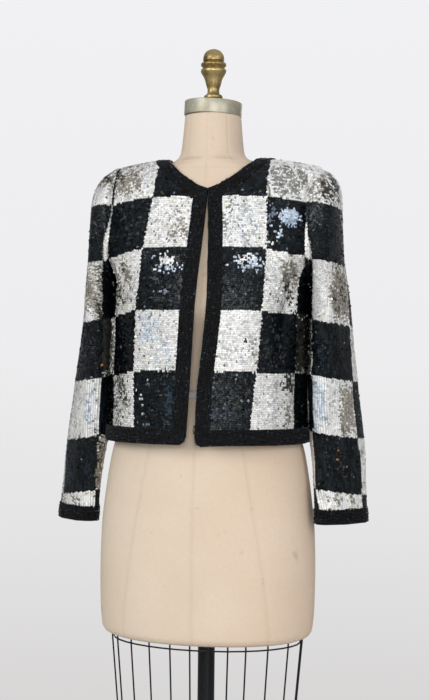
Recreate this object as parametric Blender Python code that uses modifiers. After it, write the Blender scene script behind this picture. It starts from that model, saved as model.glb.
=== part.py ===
"""A cropped sequin jacket on a limbless dress form, with the form's cage and stand.

Frame: metres, +Z up. The form faces -Y and its left side is +X. The origin is the centre of the
base's underside.

The jacket is drawn in pattern coordinates: s runs along the cloth from the centre line, level by
level, and t runs up the cloth from the hem. A Side turns (s, t) into a place on the worn jacket.
Every surface given here is the inside of the cloth, and its thickness goes outward.
"""
import math
from typing import NamedTuple

import bpy
import numpy as np

COLLECTION = "sequin_jacket"
MERGE = 0.0001

# Cloth thicknesses and gaps
WALL = 0.002
BORDER_WALL = 0.0018
SEAM = 0.0003
REST = 0.0003

# Jacket sizes
HEM_LIFT = 0.0035
HEM_DIP_RUN = 0.060
CHEST_Z = 1.300
UNDERARM_Z = 1.245
RIDGE_Z = 1.4590
RIDGE_PEAK_X = 0.085
RIDGE_FALL = 1.72
ARMHOLE_X = 0.1665
BODY_POWER = 2.35
BORDER_LINES = (0.0, 0.013, 0.026)
CORNER_RADIUS = 0.013
NECK_X = 0.080
NECK_FRONT_Z = 1.402
NECK_BACK_Z = 1.435
NECK_CURVE = 0.62
CORNER_CLEAR = 0.032
CROWN_LEAN = 0.30
LEAN_START_Z = 1.06
LEAN_END_Z = 1.30
LEAN = 0.005
LEFT_CUFF_LIFT = 0.008
CUFF_LIFT_START_Z = 1.20
SEAT_RUN = 0.0035
SEAT_SHARE = 0.10

# How finely the jacket is divided
SIDE_ROWS = 9
ARM_ROWS = 12
FRONT_COLUMNS = 9
FRONT_EDGE_ROWS = 5
YOKE_ROW = 6
BACK_COLUMNS = 10
YOKE_COLUMNS = 4
NECK_STEPS = 80
LATTICE_LEVELS = 260
LATTICE_STEPS = 240
ARMHOLE_STEPS = 400
NORMAL_REACH = 0.002
TINY = 1e-9
MITRE_LIMIT = 0.3
FOLD_END_POWER = 0.8

# Dress form and stand sizes
TORSO_SIDES = 32
NECK_Y = 0.011
CAP_Z = 1.5365
POLE_RADIUS = 0.0145
BASE_TOP_Z = 0.046
CAGE_TOP_Z = 0.640
CAGE_LOW_Z = 0.270
CAGE_HALF_WIDTH = 0.162
CAGE_HALF_DEPTH = 0.106
CAGE_LOW_SHARE = 0.80
CAGE_WIRE_RADIUS = 0.0014


class Level(NamedTuple):
    """One level round the jacket's body."""

    height: float
    half_width: float
    front_y: float
    side_y: float
    back_y: float


BODY_LEVELS = (
    Level(0.9765, 0.1705, -0.1450, 0.000, 0.1200),
    Level(1.0200, 0.1685, -0.1435, 0.000, 0.1150),
    Level(1.0600, 0.1665, -0.1420, 0.001, 0.1120),
    Level(1.1400, 0.1665, -0.1440, 0.003, 0.1135),
    Level(1.2000, 0.1668, -0.1450, 0.006, 0.1165),
    Level(1.2450, 0.1670, -0.1350, 0.010, 0.1210),
    Level(1.3000, 0.2050, -0.1130, 0.014, 0.1270),
    Level(1.3517, 0.2150, -0.0900, 0.018, 0.1225),
    Level(1.4053, 0.2230, -0.0660, 0.018, 0.1095),
    Level(1.4342, 0.2300, -0.0450, 0.018, 0.0920),
    Level(1.4443, 0.2320, -0.0340, 0.018, 0.0800),
    Level(1.4507, 0.2330, -0.0220, 0.018, 0.0660),
    Level(1.4551, 0.2340, -0.0110, 0.018, 0.0520),
    Level(1.4574, 0.2345, 0.0010, 0.018, 0.0390),
    Level(1.4590, 0.2350, 0.0180, 0.018, 0.0180),
)


class EdgePoint(NamedTuple):
    """Where the two front edges lie at one height, as distances to the form's left."""

    height: float
    right_front_x: float
    left_front_x: float


FRONT_EDGES = (
    EdgePoint(0.977, -0.0085, 0.0065),
    EdgePoint(1.067, -0.0040, 0.0088),
    EdgePoint(1.140, -0.0010, 0.0155),
    EdgePoint(1.210, 0.0014, 0.0203),
    EdgePoint(1.290, 0.0027, 0.0150),
    EdgePoint(1.402, 0.0034, 0.0042),
)


class Fold(NamedTuple):
    """A soft trough in one panel, from its start to its end in pattern coordinates."""

    start_s: float
    start_t: float
    end_s: float
    end_t: float
    depth: float
    width: float


FRONT_LEFT_FOLDS = (
    Fold(0.178, 0.325, 0.146, 0.130, 0.0075, 0.019),
    Fold(0.205, 0.215, 0.190, 0.045, 0.0035, 0.016),
    Fold(0.052, 0.260, 0.080, 0.130, 0.0020, 0.022),
)
FRONT_RIGHT_FOLDS = (
    Fold(0.188, 0.330, 0.186, 0.110, 0.0080, 0.017),
    Fold(0.150, 0.190, 0.160, 0.040, 0.0030, 0.018),
    Fold(0.070, 0.235, 0.060, 0.090, 0.0020, 0.024),
)
BACK_FOLDS = (
    Fold(0.170, 0.330, 0.150, 0.100, 0.0060, 0.020),
    Fold(0.070, 0.210, 0.085, 0.040, 0.0035, 0.024),
)


class Ring(NamedTuple):
    """One ring round a sleeve, from the armhole down.

    The turn is in degrees, and the right sleeve's outer side is narrower by right_trim.
    """

    outer_x: float
    outer_z: float
    inner_x: float
    inner_z: float
    centre_y: float
    half_depth: float
    turn: float
    right_trim: float = 0.0


SLEEVE_RINGS = (
    Ring(0.1800, 1.4425, 0.1738, 1.2440, 0.0105, 0.0820, 0.0, 0.0030),
    Ring(0.1980, 1.4325, 0.1745, 1.2395, 0.0100, 0.0825, 0.0, 0.0070),
    Ring(0.2090, 1.4200, 0.1745, 1.2340, 0.0100, 0.0820, 0.0, 0.0080),
    Ring(0.2145, 1.4030, 0.1742, 1.2270, 0.0095, 0.0800, 0.0, 0.0085),
    Ring(0.2165, 1.3600, 0.1742, 1.2100, 0.0095, 0.0770, 2.0, 0.0070),
    Ring(0.2190, 1.3000, 0.1746, 1.1900, 0.0100, 0.0735, 5.0, 0.0045),
    Ring(0.2305, 1.2200, 0.1756, 1.1600, 0.0115, 0.0680, 10.0, 0.0065),
    Ring(0.2360, 1.1500, 0.1786, 1.1200, 0.0130, 0.0640, 16.0, 0.0045),
    Ring(0.2400, 1.0950, 0.1806, 1.0850, 0.0140, 0.0600, 22.0, 0.0025),
    Ring(0.2438, 1.0400, 0.1862, 1.0380, 0.0135, 0.0575, 28.0, 0.0015),
    Ring(0.2485, 0.9900, 0.1885, 0.9895, 0.0115, 0.0550, 33.0, 0.0010),
    Ring(0.2500, 0.9400, 0.1980, 0.9400, 0.0070, 0.0530, 38.0, 0.0010),
    Ring(0.2490, 0.8930, 0.2055, 0.8930, 0.0020, 0.0515, 42.0),
    Ring(0.2515, 0.8640, 0.2062, 0.8640, -0.0010, 0.0505, 43.0),
    Ring(0.2525, 0.8510, 0.2066, 0.8510, -0.0025, 0.0502, 43.5),
    Ring(0.2533, 0.8380, 0.2069, 0.8380, -0.0040, 0.0500, 44.0),
)
CUFF_RINGS = 3


class Section(NamedTuple):
    """One level section of the dress form; a lower power makes a sharper shoulder."""

    height: float
    half_width: float
    front_y: float
    centre_y: float
    back_y: float
    power: float


TORSO_SECTIONS = (
    Section(0.6490, 0.1680, -0.1140, 0.000, 0.1000, 2.10),
    Section(0.6530, 0.1765, -0.1215, 0.000, 0.1070, 2.10),
    Section(0.6620, 0.1815, -0.1260, 0.000, 0.1110, 2.10),
    Section(0.7000, 0.1850, -0.1280, 0.000, 0.1140, 2.10),
    Section(0.7600, 0.1860, -0.1290, 0.000, 0.1180, 2.10),
    Section(0.8300, 0.1840, -0.1280, 0.000, 0.1200, 2.10),
    Section(0.8800, 0.1790, -0.1260, 0.000, 0.1170, 2.10),
    Section(0.9300, 0.1720, -0.1220, 0.000, 0.1110, 2.10),
    Section(0.9700, 0.1640, -0.1170, 0.000, 0.1020, 2.10),
    Section(1.0100, 0.1480, -0.1100, 0.000, 0.0930, 2.10),
    Section(1.0600, 0.1240, -0.0980, 0.000, 0.0840, 2.10),
    Section(1.1100, 0.1300, -0.1010, 0.000, 0.0910, 2.10),
    Section(1.1600, 0.1420, -0.1160, 0.003, 0.1000, 2.10),
    Section(1.2000, 0.1530, -0.1340, 0.006, 0.1080, 2.10),
    Section(1.2400, 0.1560, -0.1260, 0.009, 0.1130, 2.10),
    Section(1.3000, 0.1540, -0.1050, 0.012, 0.1150, 2.10),
    Section(1.3400, 0.1540, -0.0860, 0.013, 0.1100, 2.10),
    Section(1.3750, 0.1520, -0.0700, 0.014, 0.1010, 2.10),
    Section(1.4000, 0.1460, -0.0585, 0.014, 0.0930, 2.00),
    Section(1.4200, 0.1340, -0.0505, 0.014, 0.0835, 1.90),
    Section(1.4360, 0.1180, -0.0460, 0.014, 0.0745, 1.75),
    Section(1.4470, 0.0960, -0.0450, 0.014, 0.0705, 1.60),
    Section(1.4535, 0.0840, -0.0445, 0.015, 0.0685, 1.45),
    Section(1.4570, 0.0765, -0.0445, 0.016, 0.0675, 1.40),
    Section(1.4600, 0.0680, -0.0442, 0.013, 0.0668, 1.60),
    Section(1.4640, 0.0605, -0.0440, 0.011, 0.0665, 1.85),
    Section(1.4730, 0.0550, -0.0435, 0.011, 0.0655, 2.00),
    Section(1.4900, 0.0525, -0.0415, 0.011, 0.0635, 2.00),
    Section(1.5200, 0.0498, -0.0388, 0.011, 0.0608, 2.00),
    Section(1.5365, 0.0484, -0.0374, 0.011, 0.0594, 2.00),
)

# Turned pieces, as radius and height from the outside top down
CAP_PROFILE = ((0.0, 0.0248), (0.0482, 0.0248), (0.0498, 0.0230), (0.0488, 0.0003), (0.0, 0.0003))
FINIAL_PROFILE = (
    (0.0, 0.0926), (0.0080, 0.0908), (0.0150, 0.0855), (0.0182, 0.0775), (0.0184, 0.0722),
    (0.0172, 0.0697), (0.0215, 0.0672), (0.0222, 0.0645), (0.0207, 0.0620), (0.0185, 0.0592),
    (0.0218, 0.0562), (0.0222, 0.0530), (0.0192, 0.0470), (0.0156, 0.0405), (0.0124, 0.0290),
    (0.0102, 0.0215), (0.0106, 0.0165), (0.0132, 0.0130), (0.0160, 0.0110), (0.0162, 0.0075),
    (0.0125, 0.0055), (0.0120, 0.0003), (0.0, 0.0003),
)
BASE_PROFILE = (
    (0.0, 0.046), (0.030, 0.046), (0.034, 0.040), (0.042, 0.030), (0.120, 0.024), (0.185, 0.017),
    (0.194, 0.010), (0.190, 0.0), (0.0, 0.0),
)
FINIAL_SIDES = 18
CAP_SIDES = 28
BASE_SIDES = 32
POLE_SIDES = 24
RING_SIDES = 36

# The cage's rings, as name, height and share of the full size
CAGE_RINGS = (("cage_ring_top", CAGE_TOP_Z, 1.0), ("cage_ring_low", CAGE_LOW_Z, CAGE_LOW_SHARE))

# The cage's wires, as degrees round from the centre front to the form's left
WIRE_ANGLES = (-74.0, -60.0, -43.0, -28.0, -14.0, -2.0, 9.0, 20.0, 31.0, 46.0, 64.0, 85.0, 98.0)


class Finish(NamedTuple):
    """A plain material: its name, colour, roughness and metallic value."""

    name: str
    colour: tuple
    roughness: float
    metallic: float


SEQUINS = Finish("sequin_cloth", (0.30, 0.30, 0.29), 0.35, 0.3)
BEADS = Finish("black_beading", (0.012, 0.012, 0.014), 0.45, 0.0)
LINEN = Finish("form_linen", (0.78, 0.66, 0.52), 0.85, 0.0)
GREY_METAL = Finish("neck_cap_metal", (0.50, 0.48, 0.42), 0.45, 0.9)
BRASS = Finish("old_brass", (0.36, 0.26, 0.11), 0.40, 0.9)
BLACK_STEEL = Finish("black_steel", (0.02, 0.022, 0.025), 0.45, 0.2)


def smooth(knots, values, at):
    """Return the monotone cubic through the values at the knots, read at the places in at."""
    knots, values, at = (np.asarray(v, float) for v in (knots, values, at))
    step = np.diff(knots)
    slope = np.diff(values) / step
    inner = np.where(slope[:-1] * slope[1:] > 0, 2 * slope[:-1] * slope[1:], 0.0)
    inner = inner / np.where(np.abs(slope[:-1] + slope[1:]) > 0, slope[:-1] + slope[1:], 1.0)
    tangent = np.concatenate([slope[:1], inner, slope[-1:]])
    cell = np.clip(np.searchsorted(knots, at, side="right") - 1, 0, len(step) - 1)
    share = np.clip((at - knots[cell]) / step[cell], 0.0, 1.0)
    rise = share * share * (3 - 2 * share)
    start_bend = share * (1 - share) ** 2 * step[cell] * tangent[cell]
    end_bend = share * share * (share - 1) * step[cell] * tangent[cell + 1]
    return values[cell] * (1 - rise) + values[cell + 1] * rise + start_bend + end_bend


def ridge_height(x):
    """Return the shoulder ridge's height at a distance from the centre."""
    return RIDGE_Z - RIDGE_FALL * (x - RIDGE_PEAK_X) ** 2


def level_at(centre_z):
    """Return the level that passes the centre line at a height above the chest."""
    lift = (centre_z - CHEST_Z) / (ridge_height(0.0) - CHEST_Z)
    return CHEST_Z + lift * (RIDGE_Z - CHEST_Z)


class Side:
    """The front or the back half of the jacket's body, from its centre line to its side."""

    def __init__(self, is_front, folds=()):
        """Lay out the lattice of levels that pattern coordinates are read from."""
        self.folds = folds
        self.facing = 1.0 if is_front else -1.0
        table = np.array(BODY_LEVELS)
        heights, outline = table[:, 0], table[:, 2 if is_front else 4]
        self.level_t = np.concatenate(
            [[0.0], np.cumsum(np.hypot(np.diff(heights), np.diff(outline)))]
        )
        self.level_heights = heights
        self.top = float(self.level_t[-1])
        self.t = np.linspace(0.0, self.top, LATTICE_LEVELS)
        half_width = smooth(self.level_t, table[:, 1], self.t)[:, None]
        side_y = smooth(self.level_t, table[:, 3], self.t)[:, None]
        depth = smooth(self.level_t, outline - table[:, 3], self.t)[:, None]
        height = smooth(self.level_t, heights, self.t)[:, None]
        angle = np.linspace(0.0, math.pi / 2, LATTICE_STEPS)[None, :]
        x = half_width * np.sin(angle) ** (2 / BODY_POWER)
        y = side_y + depth * np.maximum(np.cos(angle), 0.0) ** (2 / BODY_POWER)
        lift = np.maximum(0.0, (height - CHEST_Z) / (RIDGE_Z - CHEST_Z))
        z = np.where(height <= CHEST_Z, height, CHEST_Z + (ridge_height(x) - CHEST_Z) * lift)
        self.places = np.stack([x, y, z + 0 * x], axis=2)
        steps = np.linalg.norm(np.diff(self.places, axis=1), axis=2)
        self.s = np.concatenate([np.zeros((LATTICE_LEVELS, 1)), np.cumsum(steps, axis=1)], axis=1)

    def t_at(self, height):
        """Return t at a height of the centre line."""
        return float(np.interp(height, smooth(self.level_t, self.level_heights, self.t), self.t))

    def s_at(self, x, t):
        """Return s where the cloth at t reaches x."""
        row = int(round(t / self.top * (LATTICE_LEVELS - 1)))
        return math.copysign(float(np.interp(abs(x), self.places[row, :, 0], self.s[row])), x)

    def side_s(self, t):
        """Return s at the side seam or, above the underarm, at the armhole."""
        place = t / self.top * (LATTICE_LEVELS - 1)
        low = int(min(place, LATTICE_LEVELS - 2))
        ends = []
        for row in (low, low + 1):
            if self.places[row, -1, 0] <= ARMHOLE_X or t < self.t_at(UNDERARM_Z):
                ends.append(self.s[row, -1])
            else:
                ends.append(np.interp(ARMHOLE_X, self.places[row, :, 0], self.s[row]))
        return float(ends[0] + (ends[1] - ends[0]) * (place - low))

    def flat_point(self, s, t):
        """Return the place on the worn jacket without its folds."""
        place = min(max(t / self.top, 0.0), 1.0) * (LATTICE_LEVELS - 1)
        low = int(min(place, LATTICE_LEVELS - 2))
        found = []
        for row in (low, low + 1):
            x, y, z = (np.interp(abs(s), self.s[row], self.places[row, :, k]) for k in range(3))
            found.append((math.copysign(x, s), y, z))
        return np.array(found[0]) + (np.array(found[1]) - np.array(found[0])) * (place - low)

    def normal(self, s, t):
        """Return the outward direction at a place."""
        ahead, behind = NORMAL_REACH, -NORMAL_REACH
        across = self.flat_point(s + ahead, t) - self.flat_point(s + behind, t)
        up = self.flat_point(s, t + ahead) - self.flat_point(s, t + behind)
        out = np.cross(across, up) * self.facing
        return out / max(np.linalg.norm(out), TINY)

    def trough(self, s, t):
        """Return how deep the folds press the cloth in at a place."""
        depth = 0.0
        for fold in self.folds:
            along = np.array([fold.end_s - fold.start_s, fold.end_t - fold.start_t])
            offset = np.array([s - fold.start_s, t - fold.start_t])
            share = float(offset @ along) / float(along @ along)
            away = abs(float(along[0] * offset[1] - along[1] * offset[0])) / math.hypot(*along)
            ends = math.sin(math.pi * min(max(share, 0.0), 1.0)) ** FOLD_END_POWER
            depth += fold.depth * ends * math.exp(-((away / fold.width) ** 2))
        return depth

    def point(self, s, t):
        """Return the place on the worn jacket, folds and all."""
        place = self.flat_point(s, t)
        depth = self.trough(s, t)
        return place if depth == 0.0 else place - self.normal(s, t) * depth

    def armhole(self):
        """Return the armhole's (s, t) places from the underarm to the shoulder, evenly spaced."""
        t = np.linspace(self.t_at(UNDERARM_Z), self.top, ARMHOLE_STEPS)
        s = np.array([self.side_s(value) for value in t])
        places = np.array([self.flat_point(a, b) for a, b in zip(s, t)])
        run = np.concatenate([[0.0], np.cumsum(np.linalg.norm(np.diff(places, axis=0), axis=1))])
        even = np.linspace(0.0, run[-1], ARM_ROWS + 1)
        return list(zip(np.interp(even, run, s), np.interp(even, run, t)))


def pulled_in(s, t):
    """Return an (s, t) place moved off the armhole or side seam by half a seam's gap."""
    return (s - SEAM / 2, t)


def spread(start, end, count):
    """Return count + 1 even places from start to end."""
    return [
        (start[0] + (end[0] - start[0]) * k / count, start[1] + (end[1] - start[1]) * k / count)
        for k in range(count + 1)
    ]


def even_path(places, count):
    """Return count + 1 places, evenly spaced along a path."""
    places = np.array(places, float)
    run = np.concatenate([[0.0], np.cumsum(np.hypot(*np.diff(places, axis=0).T))])
    even = np.linspace(0.0, run[-1], count + 1)
    return list(zip(np.interp(even, run, places[:, 0]), np.interp(even, run, places[:, 1])))


def border_lines(path, corners=()):
    """Return the border's lines across a neckline path: the edge, the middle and the inner line.

    A line is square to the path, but for a corner, where it halves the angle.
    """
    rows = []
    for k, (s, t) in enumerate(path):
        before = np.array(path[k]) - np.array(path[max(k - 1, 0)])
        after = np.array(path[min(k + 1, len(path) - 1)]) - np.array(path[k])
        before = before / max(np.linalg.norm(before), TINY)
        after = after / max(np.linalg.norm(after), TINY)
        run = (before + after) / max(np.linalg.norm(before + after), TINY)
        stretch = 1.0 / max(abs(float(run @ after)), MITRE_LIMIT) if k in corners else 1.0
        rows.append([(s + run[1] * w * stretch, t - run[0] * w * stretch) for w in BORDER_LINES])
    return rows


def front_neckline(side, start_x):
    """Return the front neckline's fine (s, t) path from the front edge to the shoulder."""
    base = level_at(NECK_FRONT_Z)
    path = []
    for rise in np.linspace(0.0, 1.0, NECK_STEPS):
        t = side.t_at(base + (RIDGE_Z - base) * rise)
        path.append((side.s_at(start_x + (NECK_X - start_x) * rise ** NECK_CURVE, t), t))
    path[-1] = (side.s_at(NECK_X, side.top), side.top)
    return path


def front_rows(is_left):
    """Return one front panel's rows of (s, t) places, from the hem up, and its side.

    The first columns and rows follow the border along the hem, the front edge and the neckline.
    """
    side = Side(True, FRONT_LEFT_FOLDS if is_left else FRONT_RIGHT_FOLDS)
    table = np.array(FRONT_EDGES)
    edge_x = table[:, 2] if is_left else -table[:, 1]

    def edge(t):
        height = float(np.interp(t, side.level_t, side.level_heights))
        return side.s_at(float(smooth(table[:, 0], edge_x, height)), t)

    def beside_edge(t):
        return [(edge(t) + w, t) for w in BORDER_LINES]

    under_t = side.t_at(UNDERARM_Z)
    rows = []
    for t in low_levels(under_t):
        row = beside_edge(t) + spread_inside(side, edge(t) + BORDER_LINES[-1], t)
        rows.append([(s, t - hem_dip(s, t, is_left)) for s, t in row])
    neck_t = side.t_at(level_at(NECK_FRONT_Z))
    path = even_path(front_neckline(side, edge_x[-1]), ARM_ROWS - FRONT_EDGE_ROWS)
    path[0] = (edge(neck_t), neck_t)
    last_low = neck_t - CORNER_CLEAR
    starts = [beside_edge(t) for t in np.linspace(under_t, last_low, FRONT_EDGE_ROWS)[1:]]
    around = [(edge(last_low), last_low)] + path
    turned = border_lines(around, corners=(1,))[1:]
    turned[-1] = [(path[-1][0] + w, side.top) for w in BORDER_LINES]
    starts += turned
    for start, end in zip(starts, side.armhole()[1:]):
        row = start + spread(start[-1], pulled_in(*end), FRONT_COLUMNS)[1:]
        rows.append(row)
    rows[-1] = [(s, side.top - SEAM / 2) for s, _ in rows[-1]]
    round_corner(rows)
    return side, rows


def low_levels(under_t):
    """Return t at the rows from the hem, along its border and on up to the underarm."""
    border = [HEM_LIFT + line for line in BORDER_LINES]
    return border + list(np.linspace(border[-1], under_t, SIDE_ROWS + 1)[1:])


def hem_dip(s, t, is_left):
    """Return how much lower the left front hangs near its edge, fading up and sideways."""
    if not is_left:
        return 0.0
    beside = max(0.0, 1.0 - s / HEM_DIP_RUN)
    above = max(0.0, 1.0 - (t - HEM_LIFT) / (2 * HEM_DIP_RUN))
    return HEM_LIFT * beside * above


def spread_inside(side, start_s, t):
    """Return a level row's places from inside the border to the side seam."""
    return spread((start_s, t), pulled_in(side.side_s(t), t), FRONT_COLUMNS)[1:]


def round_corner(rows):
    """Move the panel's lower front corner onto the arc of its rounding."""
    inset = CORNER_RADIUS * (1 - math.sqrt(0.5))
    s, t = rows[0][0]
    rows[0][0] = (s + inset, t + inset)


def back_blocks():
    """Return the back's side and its two grids of (s, t) places.

    The lower grid has rows from the hem up to the yoke line. The yoke's rows run from the
    neckline out to the yoke line and the armhole, so that the neck's border follows its curve.
    """
    side = Side(False, BACK_FOLDS)
    under_t = side.t_at(UNDERARM_Z)
    arm = [pulled_in(*place) for place in side.armhole()]
    lower = [
        spread((0.0, t), pulled_in(side.side_s(t), t), BACK_COLUMNS) for t in low_levels(under_t)
    ]
    yoke_t = arm[YOKE_ROW][1]
    for k in range(1, YOKE_ROW + 1):
        centre_t = under_t + (yoke_t - under_t) * k / YOKE_ROW
        lower.append(spread((0.0, centre_t), arm[k], BACK_COLUMNS))
    base_t = side.t_at(level_at(NECK_BACK_Z))
    curve = []
    for turn in np.linspace(0.0, math.pi / 2, NECK_STEPS):
        t = base_t + (side.top - base_t) * (1 - math.cos(turn))
        curve.append((side.s_at(NECK_X * math.sin(turn), t), t))
    path = even_path(curve, BACK_COLUMNS + ARM_ROWS - YOKE_ROW)
    lines = border_lines(path)
    lines[0] = [(0.0, path[0][1] - w) for w in BORDER_LINES]
    lines[-1] = [(path[-1][0] + w, side.top) for w in BORDER_LINES]
    ends = lower[-1] + arm[YOKE_ROW + 1:]
    yoke = [line + spread(line[-1], end, YOKE_COLUMNS)[1:] for line, end in zip(lines, ends)]
    yoke[-1] = [(s, side.top - SEAM / 2) for s, _ in yoke[-1]]
    return side, lower, yoke


def make_material(finish):
    """Return the finish's material, made once."""
    material = bpy.data.materials.get(finish.name)
    if material is None:
        material = bpy.data.materials.new(finish.name)
        material.use_nodes = True
        shader = material.node_tree.nodes["Principled BSDF"]
        shader.inputs["Base Color"].default_value = (*finish.colour, 1.0)
        shader.inputs["Roughness"].default_value = finish.roughness
        shader.inputs["Metallic"].default_value = finish.metallic
        material.diffuse_color = (*finish.colour, 1.0)
    return material


def add_object(name, data, finish):
    """Add an object to the collection with its own material slot."""
    obj = bpy.data.objects.new(name, data)
    bpy.data.collections[COLLECTION].objects.link(obj)
    obj.data.materials.append(make_material(finish))
    return obj


def grid_faces(rows, columns, closed=False):
    """Yield a grid's faces as vertex numbers, closed into a tube if asked."""
    for row in range(rows - 1):
        for column in range(columns if closed else columns - 1):
            after = (column + 1) % columns
            low, high = row * columns, (row + 1) * columns
            yield (low + column, low + after, high + after, high + column)


def surface_mesh(name, points, faces, flip):
    """Return a mesh of the faces, turned over if asked and without loose points."""
    used = sorted({corner for face in faces for corner in face})
    number = {old: new for new, old in enumerate(used)}
    mesh = bpy.data.meshes.new(name)
    turned = [tuple(number[c] for c in (reversed(face) if flip else face)) for face in faces]
    mesh.from_pydata([tuple(points[old]) for old in used], [], turned)
    mesh.update()
    return mesh


def point_normals(points, faces, flip, mirrored):
    """Return the outward direction at each point of a surface, as its thickness will use it."""
    mesh = surface_mesh("measure", points, faces, flip)
    used = sorted({corner for face in faces for corner in face})
    normals = np.zeros((len(points), 3))
    for new, old in enumerate(used):
        normals[old] = mesh.vertices[new].normal
    bpy.data.meshes.remove(mesh)
    if mirrored:
        on_plane = np.abs(np.array(points)[:, 0]) < MERGE
        normals[on_plane, 0] = 0.0
        lengths = np.linalg.norm(normals[on_plane], axis=1, keepdims=True)
        normals[on_plane] /= np.maximum(lengths, MERGE)
    return normals


def thick_shell(name, mesh, finish, wall, mirrored=False):
    """Add a cloth piece: an open surface, mirrored if asked, with its wall going outward."""
    obj = add_object(name, mesh, finish)
    if mirrored:
        mirror = obj.modifiers.new("other_half", "MIRROR")
        mirror.use_axis = (True, False, False)
        mirror.merge_threshold = MERGE
    lean_over(obj)
    solidify = obj.modifiers.new("cloth", "SOLIDIFY")
    solidify.thickness = wall
    solidify.offset = 1.0
    for polygon in mesh.polygons:
        polygon.use_smooth = True
    return obj


def lean_over(obj):
    """Move the jacket's upper part a little to the form's left, as it hangs on the form."""
    group = obj.vertex_groups.new(name="lean")
    for vertex in obj.data.vertices:
        share = (vertex.co.z - LEAN_START_Z) / (LEAN_END_Z - LEAN_START_Z)
        group.add([vertex.index], min(max(share, 0.0), 1.0), "REPLACE")
    lean = obj.modifiers.new("lean", "DISPLACE")
    lean.direction = "X"
    lean.mid_level = 0.0
    lean.strength = LEAN
    lean.vertex_group = group.name


def lifted(points, normals):
    """Return the points moved out to where a border lies on the cloth."""
    return np.array(points) + normals * (WALL + SEAM)


def build_front(is_left):
    """Build one front panel and the beaded border along its hem, edge and neckline."""
    name = "left" if is_left else "right"
    side, rows = front_rows(is_left)
    sign = np.array([1.0 if is_left else -1.0, 1.0, 1.0])
    columns = len(rows[0])
    points = [side.point(s, t) * sign for row in rows for s, t in row]
    faces = list(grid_faces(len(rows), columns))
    flip = not is_left
    mesh = surface_mesh(f"front_{name}", points, faces, flip)
    thick_shell(f"front_{name}", mesh, SEQUINS, WALL)
    border_last = len(BORDER_LINES) - 1
    border = [
        face for face in faces
        if face[0] % columns < border_last or face[0] // columns < border_last
    ]
    raised = lifted(points, point_normals(points, faces, flip, False))
    mesh = surface_mesh(f"front_border_{name}", raised, border, flip)
    thick_shell(f"front_border_{name}", mesh, BEADS, BORDER_WALL)


def build_back():
    """Build the back panel with the borders along its hem and its neckline."""
    side, lower, yoke = back_blocks()
    columns, yoke_columns = len(lower[0]), len(yoke[0])
    points = [side.point(s, t) for row in lower for s, t in row]
    first = len(points)
    points += [side.point(s, t) for row in yoke for s, t in row]
    lower_faces = list(grid_faces(len(lower), columns))
    yoke_faces = [tuple(first + c for c in face) for face in grid_faces(len(yoke), yoke_columns)]
    join = {}
    for k in range(columns):
        join[first + k * yoke_columns + yoke_columns - 1] = (len(lower) - 1) * columns + k
    yoke_faces = [tuple(join.get(c, c) for c in face) for face in yoke_faces]
    faces = lower_faces + yoke_faces
    points = np.array(points)
    points[np.abs(points[:, 0]) < MERGE, 0] = 0.0
    thick_shell("back", surface_mesh("back", points, faces, True), SEQUINS, WALL, True)
    raised = lifted(points, point_normals(points, faces, True, True))
    border_last = len(BORDER_LINES) - 1
    hem = [face for face in lower_faces if face[0] // columns < border_last]
    neck = [
        face for face, plain in zip(yoke_faces, grid_faces(len(yoke), yoke_columns))
        if plain[0] % yoke_columns < border_last
    ]
    for name, band in (("back_hem_border", hem), ("back_neck_border", neck)):
        mesh = surface_mesh(name, raised, band, True)
        thick_shell(name, mesh, BEADS, BORDER_WALL, True)


def armhole_ring():
    """Return the sleeve's first ring: the armhole, moved clear of the panels' outer edges."""
    ring = []
    front, back = Side(True), Side(False)
    front_places = list(reversed(front.armhole()))
    back_places = back.armhole()
    for side, places in ((front, front_places), (back, back_places[1:-1])):
        for s, t in places:
            lean = max(0.0, float(side.normal(s, t)[0]))
            place = side.flat_point(s, t)
            ring.append((ARMHOLE_X + SEAM + WALL * (lean + CROWN_LEAN), place[1], place[2]))
    return ring


def seat_ring(armhole, crown):
    """Return the ring beside the armhole, where the sleeve head starts to swell."""
    run = np.array([SEAT_RUN, 0.0, 0.0])
    return [
        tuple(np.array(a) + run + (np.array(c) - np.array(a)) * SEAT_SHARE)
        for a, c in zip(armhole, crown)
    ]


def ring_points(ring, is_left):
    """Return the points round one ring, from the outer side by the front."""
    trim = 0.0 if is_left else ring.right_trim
    outer = np.array([ring.outer_x - trim, 0.0, ring.outer_z])
    inner = np.array([ring.inner_x, 0.0, ring.inner_z])
    if is_left:
        fall = (CUFF_LIFT_START_Z - np.array([ring.outer_z, ring.inner_z])).clip(0.0)
        lift = LEFT_CUFF_LIFT * fall / (CUFF_LIFT_START_Z - SLEEVE_RINGS[-1].outer_z)
        outer[2] += lift[0]
        inner[2] += lift[1]
    centre = (outer + inner) / 2 + np.array([0.0, ring.centre_y, 0.0])
    half = (outer - inner) / 2
    out = half / np.linalg.norm(half)
    turn = math.radians(ring.turn)
    ahead = np.array([0.0, -1.0, 0.0])
    wide = out * math.cos(turn) + ahead * math.sin(turn)
    deep = ahead * math.cos(turn) - out * math.sin(turn)
    points = []
    for k in range(2 * ARM_ROWS):
        angle = math.pi * k / ARM_ROWS
        reach = np.linalg.norm(half) * math.cos(angle) * wide
        points.append(tuple(centre + reach + ring.half_depth * math.sin(angle) * deep))
    return points


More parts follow.
